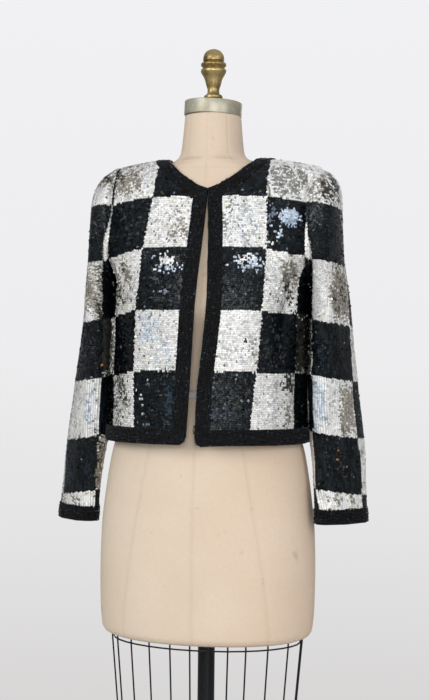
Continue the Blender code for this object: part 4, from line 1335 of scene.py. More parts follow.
def tilted(spots: Surface, rng: np.random.Generator, shingle: Any, scatter: Any) -> Surface:
    """Return spots leaned over along their strings, each a little differently.

    Args:
        spots: The places and directions.
        rng: The source of chance.
        shingle: The lean along the string, in radians, for all or for each.
        scatter: The spread of the extra lean, in radians, for all or for each.

    Returns:
        The leaned spots.
    """
    count = len(spots.place)
    lean = (shingle + rng.normal(0.0, scatter, count))[:, None]
    roll = rng.normal(0.0, scatter, count)[:, None]
    out = unit(spots.out + spots.along * np.tan(lean) + spots.up * np.tan(roll))
    along = unit(spots.along - out * np.sum(spots.along * out, axis=1, keepdims=True))
    turned = np.cross(out, along)
    turned *= np.sign(np.sum(turned * spots.up, axis=1, keepdims=True))
    return Surface(spots.place, along, turned, out)


@dataclass
class SequinPainter:
    """Chooses each sequin's colour from its check, with painted light and shade: sheen, sparks and
    the glints on the front.
    """

    rng: np.random.Generator
    glints: tuple = ()

    def paint(self, silver: np.ndarray, place: np.ndarray, sheen: np.ndarray,
              shown: np.ndarray) -> dict:
        """Return the colours, with their painted light and shade, and the silver share of each
        sequin.

        Args:
            silver: True where the sequin is in a silver check.
            place: The sequins' places.
            sheen: How much painted sheen each gets, alike along a string.
            shown: True where the glints apply.

        Returns:
            The attributes for the sequins.
        """
        count = len(place)
        chance = self.rng.random(count)
        # Painted sheen: brighter and darker clumps and runs along the strings, for the light each
        # sequin catches
        wave = np.sin(place @ CLUMP_WAVES[0]) * np.sin(place @ CLUMP_WAVES[1])
        clumps = 0.5 + 0.5 * np.sin(2.2 * wave + 1.5 * np.sin(place @ CLUMP_WAVES[2]))
        bright = 0.93 + 0.15 * clumps + 0.22 * sheen + self.rng.normal(0.0, 0.065, count)
        bright = np.clip(bright, *BRIGHT_LIMITS)[:, None]
        tone = np.where(silver[:, None], SILVER * bright, BLACK * bright ** 4)
        share = np.where(silver, 1.0, 0.0)
        specks = silver & (chance < SPECK_SHARE)
        tone[specks] = SPECK * bright[specks]
        tone[silver & (chance > 1.0 - WARM_SHARE)] *= WARM
        # Painted glints: a few black sequins get a steel-grey shine
        sparks = ~silver & (chance < SPARK_SHARE)
        tone[sparks], share[sparks] = TONES["steel"][:3], TONES["steel"][3]
        # Painted highlights, reflections and shade, patch by patch
        for glint in self.glints:
            across = (place[:, 0] - glint.x) / glint.half_x
            up = (place[:, 2] - glint.z) / glint.half_z
            away = np.cbrt(np.abs(across) ** 3 + np.abs(up) ** 3)
            near = shown & (away < 1.0 + GLINT_FRAY * self.rng.normal(0, 1, count))
            chance = 0.45 * self.rng.random(count) + 0.55 * clumps + 0.10 * sheen
            streak = chance < glint.share * (1.30 - 0.5 * away)
            hit = near & streak & (silver == (glint.tone in SILVER_TONES))
            colour, metal = np.array(TONES[glint.tone][:3]), TONES[glint.tone][3]
            lift = GLINT_SPREAD + GLINT_SPREAD * self.rng.random((hit.sum(), 1))
            tone[hit] = colour * lift * bright[hit]
            share[hit] = metal
        tone = np.clip(tone, 0.003, 1.0)
        return {"tone": np.concatenate([tone, np.ones((count, 1))], axis=1), "silver": share}


@dataclass
class Jacket:
    """The sequin jacket: panels, sleeves, borders and what is sewn on them."""

    sequins: bpy.types.Material
    beads: bpy.types.Material
    ground: bpy.types.Material
    glints: tuple
    rng: np.random.Generator = field(default_factory=lambda: np.random.default_rng(SEED))

    def build(self) -> None:
        """Build every piece of the jacket."""
        self.painter = SequinPainter(self.rng, self.glints)
        for is_left in (True, False):
            self.build_front(is_left)
        self.build_back()
        for is_left in (True, False):
            self.build_sleeve(is_left)

    def hang(self, shell: bpy.types.Object, trim: bpy.types.Object, node: str, kind: Part,
             cut: tuple, area: Optional[float], rests_on: list) -> None:
        """Ride and replace one piece of cloth with what is sewn on it.

        Args:
            shell: The cloth.
            trim: The sequins or beads on it.
            node: The solid that it stands for.
            kind: Which cloth it is; not used.
            cut: The width and length it was cut from; not used.
            area: The cut's area where it is no rectangle; not used.
            rests_on: What it rests on; not used.
        """
        dress(shell, node)
        dress(trim)
        LOG.info("%s: %.4f square metres", shell.name, surface_area(shell))

    def panel(self, name: str, blocks: Sequence[tuple], is_outward: bool,
              wall: float) -> bpy.types.Object:
        """Return a cloth shell made of grids of places, merged where they meet.

        Args:
            name: The piece's name.
            blocks: Grids of places, each with True where its faces turn the other way.
            is_outward: True where the grids' faces already face out.
            wall: Its thickness.

        Returns:
            The closed shell.
        """
        points, faces, first = [], [], 0
        for grid, flip in blocks:
            rows, columns = grid.shape[:2]
            points.append(grid.reshape(-1, 3))
            for face in grid_faces(rows, columns):
                moved = tuple(first + corner for corner in face)
                faces.append(moved if is_outward != flip else moved[::-1])
            first += rows * columns
        obj = mesh_object(name, np.concatenate(points), faces, self.ground)
        joined_doubles(obj, JOIN_REACH)
        thickened(obj, wall)
        return obj

    def body_sequins(self, side: BodySide, spans: Any, columns: Any, checks: Checks,
                     on_front: bool, name: str) -> bpy.types.Object:
        """Return the sequins of one panel, in level strings.

        Args:
            side: The side of the body.
            spans: Gives each string's start and end at t, as a list of pairs.
            columns: Gives the check column of places (s, t).
            checks: How the checks lie.
            on_front: True on the front.
            name: The piece's name.

        Returns:
            The joined sequins.
        """
        all_s, all_t, all_sheen = [], [], []
        lowest, highest = ROW_STARTS[0] + FIRST_STRING_GAP, side.top - LAST_STRING_GAP
        levels = np.arange(lowest, highest, STRING_STEP)
        knot_places = np.linspace(-GRID_S, GRID_S, BODY_KNOTS)
        for row, t in enumerate(levels):
            knots = self.rng.normal(0.0, 1.0, BODY_KNOTS)
            for start, end in spans(t):
                first = start + STRING_START_GAP + (row % 2) * SEQUIN_STEP / 2
                s = np.arange(first, end + SEAM_REACH, SEQUIN_STEP)
                all_s.append(s)
                all_t.append(np.full(len(s), t))
                all_sheen.append(np.interp(s, knot_places, knots))
        s, t, sheen = np.concatenate(all_s), np.concatenate(all_t), np.concatenate(all_sheen)
        s = s + self.rng.normal(0.0, SEQUIN_JITTER, len(s))
        wave = STRING_WAVE * np.sin(s * 95.0 + t * 30.0)
        t = t + self.rng.normal(0.0, SEQUIN_JITTER, len(s)) + wave
        spots = side.surface(s, t, WALL + SEQUIN_LIFT)
        hang = np.interp(t, ROW_STARTS, checks.droops) * ease(DROOP_START_S, DROOP_END_S, np.abs(s))
        row = np.searchsorted(np.array(ROW_STARTS[1:]), t + hang)
        silver = (row + columns(s, t)) % 2 == 1
        values = self.painter.paint(silver, spots.place, sheen, np.full(len(s), on_front))
        return self.sewn_sequins(name, spots, sheen, values)

    def sewn_sequins(self, name: str, spots: Surface, sheen: np.ndarray,
                     values: dict) -> bpy.types.Object:
        """Return a piece's sequins: most lie flat on their thread and a few stand up."""
        loose = self.rng.random(len(sheen)) < LOOSE_SHARE
        scatter = np.where(loose, LOOSE_TILT, FLAT_TILT)
        spots = tilted(spots, self.rng, SHINGLE + SHINGLE_SWAY * sheen, scatter)
        return sequin_shape().scatter(name, spots, self.sequins, False, values, SEQUIN_SHADE)

    def border_beads(self, name: str, runs: Sequence[Surface]) -> bpy.types.Object:
        """Return the beads of one border from the runs of places on it."""
        spots = Surface(*(np.concatenate(part) for part in zip(*(run.parts() for run in runs))))
        wave = np.prod(np.sin(spots.place @ BEAD_WAVES.T), axis=1)
        # Bead tones: a random darkness for each, and painted glints on the few whose draw passes
        # BEAD_LIT_FROM
        depth = self.rng.random((len(wave), 1))
        lit = np.clip(depth - BEAD_LIT_FROM, 0.0, 1.0) / (1.0 - BEAD_LIT_FROM)
        tone = 0.0006 + 0.011 * depth ** 2 + 0.16 * lit
        tone = np.concatenate([tone * 0.65, tone, tone * 1.40, np.ones_like(tone)], axis=1)
        rise = BEAD_SWELL * wave + self.rng.normal(0.0, BEAD_JITTER, len(wave))
        spots.place = spots.place + spots.out * rise[:, None]
        spots = tilted(spots, self.rng, 0.0, BEAD_TILT)
        return bead_shape().scatter(name, spots, self.beads, True, {"tone": tone})

    def string_places(self, length: float, width: float) -> tuple:
        """Return the distances along and across of wavy bead strings on a border of a size."""
        all_l, all_w = [], []
        for string in range(BEAD_STRINGS):
            middle = (string + 0.5) * width / BEAD_STRINGS
            along = np.arange(self.rng.random() * BEAD_STEP, length, BEAD_STEP)
            along = along + self.rng.normal(0.0, BEAD_SPREAD, len(along))
            start = self.rng.random() * 6.3 + string * BEAD_WAVE_TURN
            wave = BEAD_WAVE * np.sin(along / BEAD_WAVE_RUN + start)
            all_l.append(along)
            all_w.append(np.clip(middle + wave, BEAD_MARGIN, width - BEAD_MARGIN))
        return np.concatenate(all_l), np.concatenate(all_w)

    def build_front(self, is_left: bool) -> None:
        """Build one front with its border."""
        word = "left" if is_left else "right"
        pattern = FrontPattern(is_left)
        side = pattern.side
        fine = refined(pattern.rows, REFINE)
        grid = side.worn(fine[..., 0], fine[..., 1])
        shell = self.panel(f"front_cloth_{word}", [(grid, False)], is_left, WALL)
        inner = fine[:, BAND_CELLS]
        outer_s = fine[:, -1]
        order = np.argsort(inner[:, 1], kind="stable")

        def spans(t: float) -> list[tuple]:
            """Return the string's start and end."""
            return [(float(np.interp(t, inner[order, 1], inner[order, 0])),
                     float(np.interp(t, outer_s[:, 1], outer_s[:, 0])))]

        checks = LEFT_CHECKS if is_left else RIGHT_CHECKS

        def columns(s: np.ndarray, t: np.ndarray) -> np.ndarray:
            """Return the check column, from the front edge out."""
            beyond = s - pattern.edge(t) - EDGE_BORDER
            return check_column(beyond, t, checks)

        trim = self.body_sequins(side, spans, columns, checks, True, f"front_sequins_{word}")
        flat_area = self.flat_area(fine)
        cut = (float(np.ptp(fine[..., 0])), float(np.ptp(fine[..., 1])))
        self.hang(shell, trim, f"front_{word}", Part.SEQUIN, cut, flat_area, ["form_torso"])

        lifted = side.surface(fine[..., 0], fine[..., 1], BAND_LIFT).place
        hem, edge = np.s_[:BAND_CELLS + 1], np.s_[BAND_CELLS:, :BAND_CELLS + 1]
        blocks = [(lifted[hem], False), (lifted[edge], False)]
        band = self.panel(f"front_band_{word}", blocks, is_left, BAND_WALL)
        runs = self.front_bead_runs(pattern)
        if is_left:
            runs.append(self.bead_loop(pattern))
        beads = self.border_beads(f"front_beads_{word}", runs)
        length = (self.flat_area(fine[hem]) + self.flat_area(fine[edge])) / EDGE_BORDER
        self.hang(band, beads, f"front_border_{word}", Part.BORDER, (EDGE_BORDER, length), None,
                  [shell])

    def bead_loop(self, pattern: FrontPattern) -> Surface:
        """Return the places of a small loose loop of beads at a front edge, near the hem."""
        turn = np.linspace(0.0, 2 * math.pi, LOOP_BEADS, endpoint=False)
        s = float(pattern.edge(LOOP_EDGE_T)) - LOOP_OUT - LOOP_HALF_S * np.cos(turn)
        t = LOOP_T + LOOP_HALF_T * np.sin(turn)
        return pattern.side.surface(s, t, BAND_LIFT)

    def front_bead_runs(self, pattern: FrontPattern) -> list[Surface]:
        """Return the bead places along a front's hem, edge and neckline."""
        side, corner = pattern.side, pattern.neck_t

        def worn(s: np.ndarray, t: np.ndarray, keep: np.ndarray) -> Surface:
            """Return the kept places, which hang lower near the left front's edge."""
            s, t = s[keep], t[keep]
            return side.surface(s, t - hem_dip(s, t, pattern.is_left), BEAD_LIFT)

        hem_end = side.side_s(HEM_LIFT + HEM_BORDER) - HEM_END_GAP
        along, across = self.string_places(hem_end, HEM_BORDER)
        s, t = along + float(pattern.edge(HEM_LIFT)), HEM_LIFT + across
        level = worn(s, t, (along > across) & (s < hem_end) & inside_corner(along, across))
        along, across = self.string_places(corner - HEM_LIFT, EDGE_BORDER)
        t = HEM_LIFT + along
        s = pattern.edge(t) + across
        run = unit(np.array(pattern.neck_path[1]) - np.array(pattern.neck_path[0]))
        mitre = math.tan(math.atan2(run[0], run[1]) / 2)
        below_neck = t < corner - across * mitre
        upright = worn(s, t, (along > across) & below_neck & inside_corner(along, across))
        upright = Surface(upright.place, upright.up, upright.along, upright.out)
        return [level, upright, self.neck_run(side, pattern.neck_path, mitre)]

    def neck_run(self, side: BodySide, path: Sequence, mitre: float) -> Surface:
        """Return the bead places along a neckline path.

        Args:
            side: The side of the body.
            path: The neckline's places.
            mitre: How fast the strings shorten at the path's start.

        Returns:
            The places with their directions.
        """
        points = np.array(path)
        run = run_along(np.hypot(*np.diff(points, axis=0).T))
        along, across = self.string_places(run[-1] - NECK_END_GAP, EDGE_BORDER)
        keep = along > across * mitre
        along, across = along[keep], across[keep]
        before, after = (
            np.stack([np.interp(along + reach, run, points[:, k]) for k in (0, 1)], axis=1)
            for reach in (-NECK_REACH, NECK_REACH)
        )
        ahead = unit(after - before)
        s = np.interp(along, run, points[:, 0]) + ahead[:, 1] * across
        t = np.interp(along, run, points[:, 1]) - ahead[:, 0] * across
        keep = t < side.top - NECK_TOP_GAP
        s, t, ahead = s[keep], t[keep], ahead[keep]
        spots = side.surface(s, t, BEAD_LIFT)
        along_3d = unit(spots.along * ahead[:, :1] + spots.up * ahead[:, 1:])
        return Surface(spots.place, along_3d, np.cross(spots.out, along_3d), spots.out)

    @staticmethod
    def flat_area(grid: np.ndarray) -> float:
        """Return the area of a grid of pattern places."""
        first, second = grid[1:, 1:] - grid[:-1, :-1], grid[1:, :-1] - grid[:-1, 1:]
        crossed = first[..., 0] * second[..., 1] - first[..., 1] * second[..., 0]
        return float(np.abs(crossed).sum()) / 2

    def build_back(self) -> None:
        """Build the back with its hem and neck borders."""
        pattern = BackPattern()
        side = pattern.side
        lower, yoke = refined(pattern.lower, REFINE), refined(pattern.yoke, REFINE)

        def both(grid: np.ndarray, lift: float) -> list[tuple]:
            """Return a grid's worn places on both halves."""
            blocks = []
            for sign in (1.0, -1.0):
                s = grid[..., 0] * sign
                t = grid[..., 1]
                place = side.surface(s, t, lift).place if lift else side.worn(s, t)
                blocks.append((place, sign < 0))
            return blocks

        shell = self.panel("back_cloth", both(lower, 0.0) + both(yoke, 0.0), False, WALL)
        inner = yoke[:, BAND_CELLS]
        ends = np.concatenate([lower[:, -1], yoke[REFINE * BACK_COLUMNS:, -1]])
        neck_low = float(inner[:, 1].min())

        def spans(t: float) -> list[tuple]:
            """Return the starts and ends of the strings at t."""
            end = float(np.interp(t, ends[:, 1], ends[:, 0]))
            if t < neck_low:
                return [(-end, end)]
            start = float(np.interp(t, inner[:, 1], inner[:, 0]))
            return [(-end, -start), (start, end)]

        def columns(s: np.ndarray, t: np.ndarray) -> np.ndarray:
            """Return the check column, counted from the middle."""
            return check_column(np.abs(s), t, BACK_CHECKS)

        trim = self.body_sequins(side, spans, columns, BACK_CHECKS, False, "back_sequins")
        area = 2 * (self.flat_area(lower) + self.flat_area(yoke))
        cut = (2 * float(lower[..., 0].max()), float(yoke[..., 1].max() - lower[..., 1].min()))
        self.hang(shell, trim, "back", Part.SEQUIN, cut, area, ["form_torso"])

        hem, neckline = lower[:BAND_CELLS + 1], yoke[:, :BAND_CELLS + 1]
        band = self.panel("back_hem_band", both(hem, BAND_LIFT), False, BAND_WALL)
        end = side.side_s(HEM_LIFT + HEM_BORDER) - HEM_END_GAP
        along, across = self.string_places(2 * end, HEM_BORDER)
        runs = [side.surface(along - end, HEM_LIFT + across, BEAD_LIFT)]
        beads = self.border_beads("back_hem_beads", runs)
        length = 2 * self.flat_area(hem) / HEM_BORDER
        self.hang(band, beads, "back_hem_border", Part.BORDER, (HEM_BORDER, length), None, [shell])

        band = self.panel("back_neck_band", both(neckline, BAND_LIFT), False, BAND_WALL)
        half = self.neck_run(side, pattern.neck_path, 0.0)
        other = Surface(*(part * MIRROR for part in half.parts()))
        other.place[:, 0] += 2 * (leaned(half.place)[:, 0] - half.place[:, 0])
        beads = self.border_beads("back_neck_beads", [half, other])
        length = 2 * self.flat_area(neckline) / EDGE_BORDER
        self.hang(band, beads, "back_neck_border", Part.BORDER, (EDGE_BORDER, length), None,
                  [shell])

    def tube(self, name: str, rings: np.ndarray, is_left: bool, wall: float) -> bpy.types.Object:
        """Return a cloth shell that goes round an arm, from its rings of places."""
        faces = grid_faces(*rings.shape[:2], True)
        if is_left:
            faces = [face[::-1] for face in faces]
        shell = mesh_object(name, rings.reshape(-1, 3), faces, self.ground)
        thickened(shell, wall)
        return shell

    def build_sleeve(self, is_left: bool) -> None:
        """Build one sleeve with its cuff border."""
        word = "left" if is_left else "right"
        pattern = SleevePattern(is_left)
        rows = pattern.fine_rows
        coarse = pattern.places[::CLOTH_STEP, ::CLOTH_STEP]
        shell = self.tube(f"sleeve_cloth_{word}", coarse, is_left, WALL)

        inner, outer = pattern.check_edges()
        line = (inner + outer) / 2
        base = pattern.along_round(line)
        inner_away, outer_away = (pattern.along_round(edge) - base for edge in (inner, outer))
        every = np.arange(rows, dtype=float)
        at_line, _ = pattern.at(every, line)
        run = run_along(np.linalg.norm(np.diff(at_line, axis=0), axis=1))
        cuff = float(np.interp(pattern.cuff_row * (rows - 1), every, run))
        down = np.arange(SLEEVE_START_GAP, cuff - LAST_STRING_GAP, SEQUIN_STEP)
        girth = np.interp(np.interp(down, run, every), every, pattern.round[:, -1])
        knot_places = np.linspace(0.0, SLEEVE_KNOTS_RUN, SLEEVE_KNOTS)
        strings = []
        for k in range(-SLEEVE_STRINGS, SLEEVE_STRINGS + 1):
            away = k * STRING_STEP
            keep = np.abs(away) < girth / 2 - UNDERARM_GAP
            if not keep.any():
                continue
            here = np.interp(down[keep] + (k % 2) * SEQUIN_STEP / 2, run, every)
            low = np.clip(np.round(here).astype(int), 0, rows - 1)
            column = pattern.column_at(low, (base[low] + away) % pattern.round[low, -1])
            sheen = np.interp(down[keep], knot_places, self.rng.normal(0.0, 1.0, SLEEVE_KNOTS))
            strings.append((here, column, np.full(len(here), away), sheen))
        row, column, away, sheen = (np.concatenate(part) for part in zip(*strings))
        column = column + self.rng.normal(0.0, SLEEVE_JITTER, len(column))
        place, out = pattern.at(row, column)
        below, _ = pattern.at(np.minimum(row + 1.0, rows - 1.0), column)
        above, _ = pattern.at(np.maximum(row - 1.0, 0.0), column)
        along = unit(below - above)
        along = unit(along - out * np.sum(along * out, axis=1, keepdims=True))
        spots = Surface(place + out * (WALL + SEQUIN_LIFT), along, np.cross(out, along), out)
        height = place[:, 2] + SLEEVE_SLANT * (np.abs(place[:, 0]) - SLEEVE_SLANT_X)
        level = np.searchsorted(LEFT_SLEEVE_ROWS if is_left else RIGHT_SLEEVE_ROWS, height)
        beyond_in = away - np.interp(row, every, inner_away)
        beyond_out = np.interp(row, every, outer_away) - away
        check = np.where(beyond_in > 0, 1 + np.floor(beyond_in / INNER_CHECK_W), 0)
        check = np.where(beyond_out > 0, 1 + np.floor(beyond_out / CHECK_W), check)
        silver = (level + check) % 2 == 0
        values = self.painter.paint(silver, place, sheen, out[:, 1] < FRONT_FACING)
        trim = self.sewn_sequins(f"sleeve_sequins_{word}", spots, sheen, values)
        area, length = surface_area(shell), float(run[-1])
        cut = (area / length / SLEEVE_FILL, length)
        self.hang(shell, trim, f"sleeve_{word}", Part.SEQUIN, cut, area, ["form_torso"])
        self.build_cuff(pattern, word, shell)

    def build_cuff(self, pattern: SleevePattern, word: str, sleeve: bpy.types.Object) -> None:
        """Build the border at a sleeve's end with its beads."""
        last = pattern.fine_rows - 1
        first = int(round(pattern.cuff_row * last))
        lifted = pattern.places[first:] + pattern.out[first:] * BAND_LIFT
        band = self.tube(f"cuff_band_{word}", lifted[:, ::CUFF_STEP], pattern.is_left, BAND_WALL)
        around, across = self.string_places(float(pattern.round[-1, -1]), HEM_BORDER)
        row = last - across / HEM_BORDER * (last - first)
        column = pattern.column_at(np.full(len(around), last), around)
        place, out = pattern.at(row, column)
        ahead, _ = pattern.at(row, column + 1.0)
        along = unit(ahead - place)
        spots = Surface(place + out * BEAD_LIFT, along, np.cross(out, along), out)
        beads = self.border_beads(f"cuff_beads_{word}", [spots])
        girth = float(pattern.round[first:, -1].mean())
        self.hang(band, beads, f"cuff_border_{word}", Part.BORDER, (HEM_BORDER, girth), None,
                  [sleeve])


class FormSection(NamedTuple):
    """One level section of the dress form."""

    height: float
    half_width: float
    front_y: float
    centre_y: float
    back_y: float
    power: float


FORM_SECTIONS = tuple(FormSection(*row) for row in (
    (0.649, 0.168, -0.114, 0.0, 0.1, 2.1),
    (0.653, 0.1765, -0.1215, 0.0, 0.107, 2.1),
    (0.662, 0.1815, -0.126, 0.0, 0.111, 2.1),
    (0.7, 0.185, -0.128, 0.0, 0.114, 2.1),
    (0.76, 0.186, -0.129, 0.0, 0.118, 2.1),
    (0.83, 0.184, -0.128, 0.0, 0.12, 2.1),
    (0.88, 0.179, -0.126, 0.0, 0.117, 2.1),
    (0.93, 0.172, -0.122, 0.0, 0.111, 2.1),
    (0.97, 0.164, -0.117, 0.0, 0.102, 2.1),
    (1.01, 0.148, -0.11, 0.0, 0.093, 2.1),
    (1.06, 0.124, -0.098, 0.0, 0.084, 2.1),
    (1.11, 0.13, -0.101, 0.0, 0.091, 2.1),
    (1.16, 0.142, -0.116, 0.003, 0.1, 2.1),
    (1.2, 0.153, -0.134, 0.006, 0.108, 2.1),
    (1.24, 0.156, -0.126, 0.009, 0.113, 2.1),
    (1.3, 0.154, -0.105, 0.012, 0.115, 2.1),
    (1.34, 0.154, -0.086, 0.013, 0.11, 2.1),
    (1.375, 0.152, -0.07, 0.014, 0.101, 2.1),
    (1.4, 0.146, -0.0585, 0.014, 0.093, 2.0),
    (1.42, 0.134, -0.0505, 0.014, 0.0835, 1.9),
    (1.436, 0.118, -0.046, 0.014, 0.0745, 1.75),
    (1.447, 0.096, -0.045, 0.014, 0.0705, 1.6),
    (1.4535, 0.084, -0.0445, 0.015, 0.0685, 1.45),
    (1.457, 0.0765, -0.0445, 0.016, 0.0675, 1.4),
    (1.46, 0.068, -0.0442, 0.013, 0.0668, 1.6),
    (1.464, 0.0605, -0.044, 0.011, 0.0665, 1.85),
    (1.473, 0.055, -0.0435, 0.011, 0.0655, 2.0),
    (1.49, 0.0525, -0.0415, 0.011, 0.0635, 2.0),
    (1.52, 0.0498, -0.0388, 0.011, 0.0608, 2.0),
    (1.5365, 0.0484, -0.0374, 0.011, 0.0594, 2.0),
))

# The form's seams: turns from the front in degrees at its hem, its waist and its neck
SEAM_TURNS = (
    (0.0, 0.0, 0.0), (42.0, 26.0, 40.0), (86.0, 84.0, 88.0), (134.0, 150.0, 140.0),
    (180.0, 180.0, 180.0), (226.0, 210.0, 220.0), (274.0, 276.0, 272.0), (318.0, 334.0, 320.0),
)
SEAM_HEIGHTS = (0.649, 1.06, 1.46, 1.54)

# How deep a place in the share of a panel's width lies in the seam's groove
SEAM_MARKS = {0.0: 1.0, 0.022: 0.45, 0.978: 0.45}
SEAM_GROOVE = 0.0005
NECK_SEAM_Z = 1.4430
NECK_SEAM_WIDTH = 0.0012
NECK_SEAM_GROOVE = 0.0004
FORM_CENTRE_Y = 0.012

TAPE_HEIGHTS = (1.0525, 1.0600, 1.0675)
TAPE_LIFT = 0.0008
TAPE_WALL = 0.0004
TAPE_SIDES = 96

NECK_Y = 0.011
CAP_TOP_Z = 1.5613
CAP_RIM = 0.0016
CAP_TILT = -2.6

# Turned outlines, as radius and height, top down; the finial's heights are from the cap's top
FINIAL_PROFILE = (
    (0.0, 0.0926), (0.008, 0.0908), (0.015, 0.0855), (0.0182, 0.0775), (0.0184, 0.0722),
    (0.0172, 0.0697), (0.0215, 0.0672), (0.0222, 0.0645), (0.0207, 0.062), (0.0185, 0.0592),
    (0.0218, 0.0562), (0.0222, 0.053), (0.0192, 0.047), (0.0156, 0.0405), (0.0124, 0.029),
    (0.0102, 0.0215), (0.0106, 0.0165), (0.0132, 0.013), (0.016, 0.011), (0.0162, 0.0075),
    (0.0125, 0.0055), (0.012, 0.0003),
)
BASE_PROFILE = (
    (0.0, 0.046), (0.022, 0.046), (0.03, 0.0455), (0.034, 0.04), (0.042, 0.03),
    (0.06, 0.0275), (0.12, 0.024), (0.185, 0.017), (0.193, 0.0125), (0.194, 0.01), (0.19, 0.0),
)


@dataclass
class DressForm:
    """The linen form with its seams, its neck cap, finial, stand and cage."""

    linen: bpy.types.Material
    cap: bpy.types.Material
    brass: bpy.types.Material
    black: bpy.types.Material
    tape: bpy.types.Material
    rows: int = 150
    between: int = 14

    def section(self, height: np.ndarray, turn: np.ndarray, outset: float = 0.0) -> np.ndarray:
        """Return places on the form.

        Args:
            height: Heights.
            turn: Turns from the front towards the form's left, in radians.
            outset: How far out from its skin.

        Returns:
            The places.
        """
        table = np.array(FORM_SECTIONS)
        wide, front, mid, back, power = (
            smooth(table[:, 0], table[:, k], height) for k in range(1, 6)
        )
        across, ahead = np.sin(turn), -np.cos(turn)
        depth = np.where(ahead < 0, mid - front, back - mid)
        x = (wide + outset) * np.sign(across) * np.abs(across) ** (2 / power)
        y = mid + (depth + outset) * np.sign(ahead) * np.abs(ahead) ** (2 / power)
        return np.stack([x, y, height + 0 * x], axis=-1)

    def build(self) -> None:
        """Build the form and all that carries it."""
        self.build_skin()
        self.build_tape()
        self.build_cap()
        finial = [(radius, height + CAP_TOP_Z) for radius, height in FINIAL_PROFILE]
        self.build_turned("finial_turned", "finial", finial, 48, NECK_Y, self.brass)
        self.build_turned("base_cast", "base", BASE_PROFILE, 96, 0.0, self.black)
        self.build_pole()
        for name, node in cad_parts.items():
            if name.startswith("cage_"):
                node.material_slots[0].material = self.black

    def build_skin(self) -> None:
        """Build the linen skin, drawn between its seams."""
        heights = np.array([s.height for s in FORM_SECTIONS])
        at = np.linspace(0, len(heights) - 1, self.rows)
        z = np.interp(at, np.arange(len(heights)), heights)
        turns, marks = [], []
        for k, seam in enumerate(SEAM_TURNS):
            after = SEAM_TURNS[(k + 1) % len(SEAM_TURNS)]
            here, there = (smooth(SEAM_HEIGHTS, (*row, row[-1]), z) for row in (seam, after))
            if k == len(SEAM_TURNS) - 1:
                there = there + 360.0
            for share in (0.0, 0.022, 0.05, *np.linspace(0.12, 0.88, self.between), 0.95, 0.978):
                turns.append(np.radians(here + (there - here) * share))
                marks.append(SEAM_MARKS.get(share, 0.0))
        turn, mark = np.array(turns).T, np.array(marks)
        high = np.repeat(z[:, None], turn.shape[1], axis=1)
        neck = np.exp(-(((high - NECK_SEAM_Z) / NECK_SEAM_WIDTH) ** 2))
        skin = self.section(high, turn)
        centre = np.stack([0 * high, FORM_CENTRE_Y + 0 * high, high], axis=-1)
        groove = mark[None, :] * SEAM_GROOVE + neck * NECK_SEAM_GROOVE
        skin = skin + unit(centre - skin) * groove[..., None]
        count, columns = skin.shape[:2]
        faces = grid_faces(count, columns, True)
        faces.append(tuple(reversed(range(columns))))
        faces.append(tuple(range((count - 1) * columns, count * columns)))
        obj = mesh_object("form_linen_skin", skin.reshape(-1, 3), faces, self.linen)
        for polygon in obj.data.polygons:
            polygon.use_smooth = len(polygon.vertices) == 4
        layer = obj.data.attributes.new("seam", "FLOAT", "POINT")
        seam = np.maximum(np.repeat(mark[None, :], count, axis=0), neck * 0.9)
        layer.data.foreach_set("value", seam.astype(np.float32).ravel())
        dress(obj, "form_torso")

    def build_tape(self) -> None:
        """Build the clear tape round the waist."""
        turn = np.linspace(0, 2 * math.pi, TAPE_SIDES, endpoint=False)
        rows = [self.section(np.full(TAPE_SIDES, z), turn, TAPE_LIFT) for z in TAPE_HEIGHTS]
        faces = grid_faces(len(rows), TAPE_SIDES, True)
        obj = mesh_object("waist_tape", np.array(rows).reshape(-1, 3), faces, self.tape)
        thickened(obj, TAPE_WALL)
        dress(obj)

    @staticmethod
    def cylinder(name: str, node: str, sides: int, y: float) -> tuple:
        """Return a new cylinder that fills a solid's box, and its middle."""
        low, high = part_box(node)
        middle = (0.0, y, (high[2] + low[2]) / 2)
        bpy.ops.object.select_all(action="DESELECT")
        bpy.ops.mesh.primitive_cylinder_add(vertices=sides, radius=(high[0] - low[0]) / 2,
                                            depth=high[2] - low[2], location=middle)
        obj = bpy.context.object
        obj.name = name
        bpy.ops.object.transform_apply(location=True, rotation=True, scale=True)
        return obj, middle

    def build_cap(self) -> None:
        """Build the metal neck cap: a band with a rolled rim, worn a little askew."""
        obj, middle = self.cylinder("neck_cap_band", "neck_cap", 72, NECK_Y)
        bevel = obj.modifiers.new("rim", "BEVEL")
        bevel.width = CAP_RIM
        bevel.segments = 3
        bevel.limit_method = "ANGLE"
        bpy.ops.object.modifier_apply(modifier=bevel.name)
        bpy.ops.object.mode_set(mode="EDIT")
        bpy.ops.mesh.select_all(action="SELECT")
        bpy.ops.transform.rotate(value=math.radians(CAP_TILT), orient_axis="Y",
                                 center_override=middle)
        bpy.ops.object.mode_set(mode="OBJECT")
        bpy.ops.object.shade_smooth_by_angle(angle=math.radians(35))
        obj.data.materials.append(self.cap)
        dress(obj, "neck_cap")

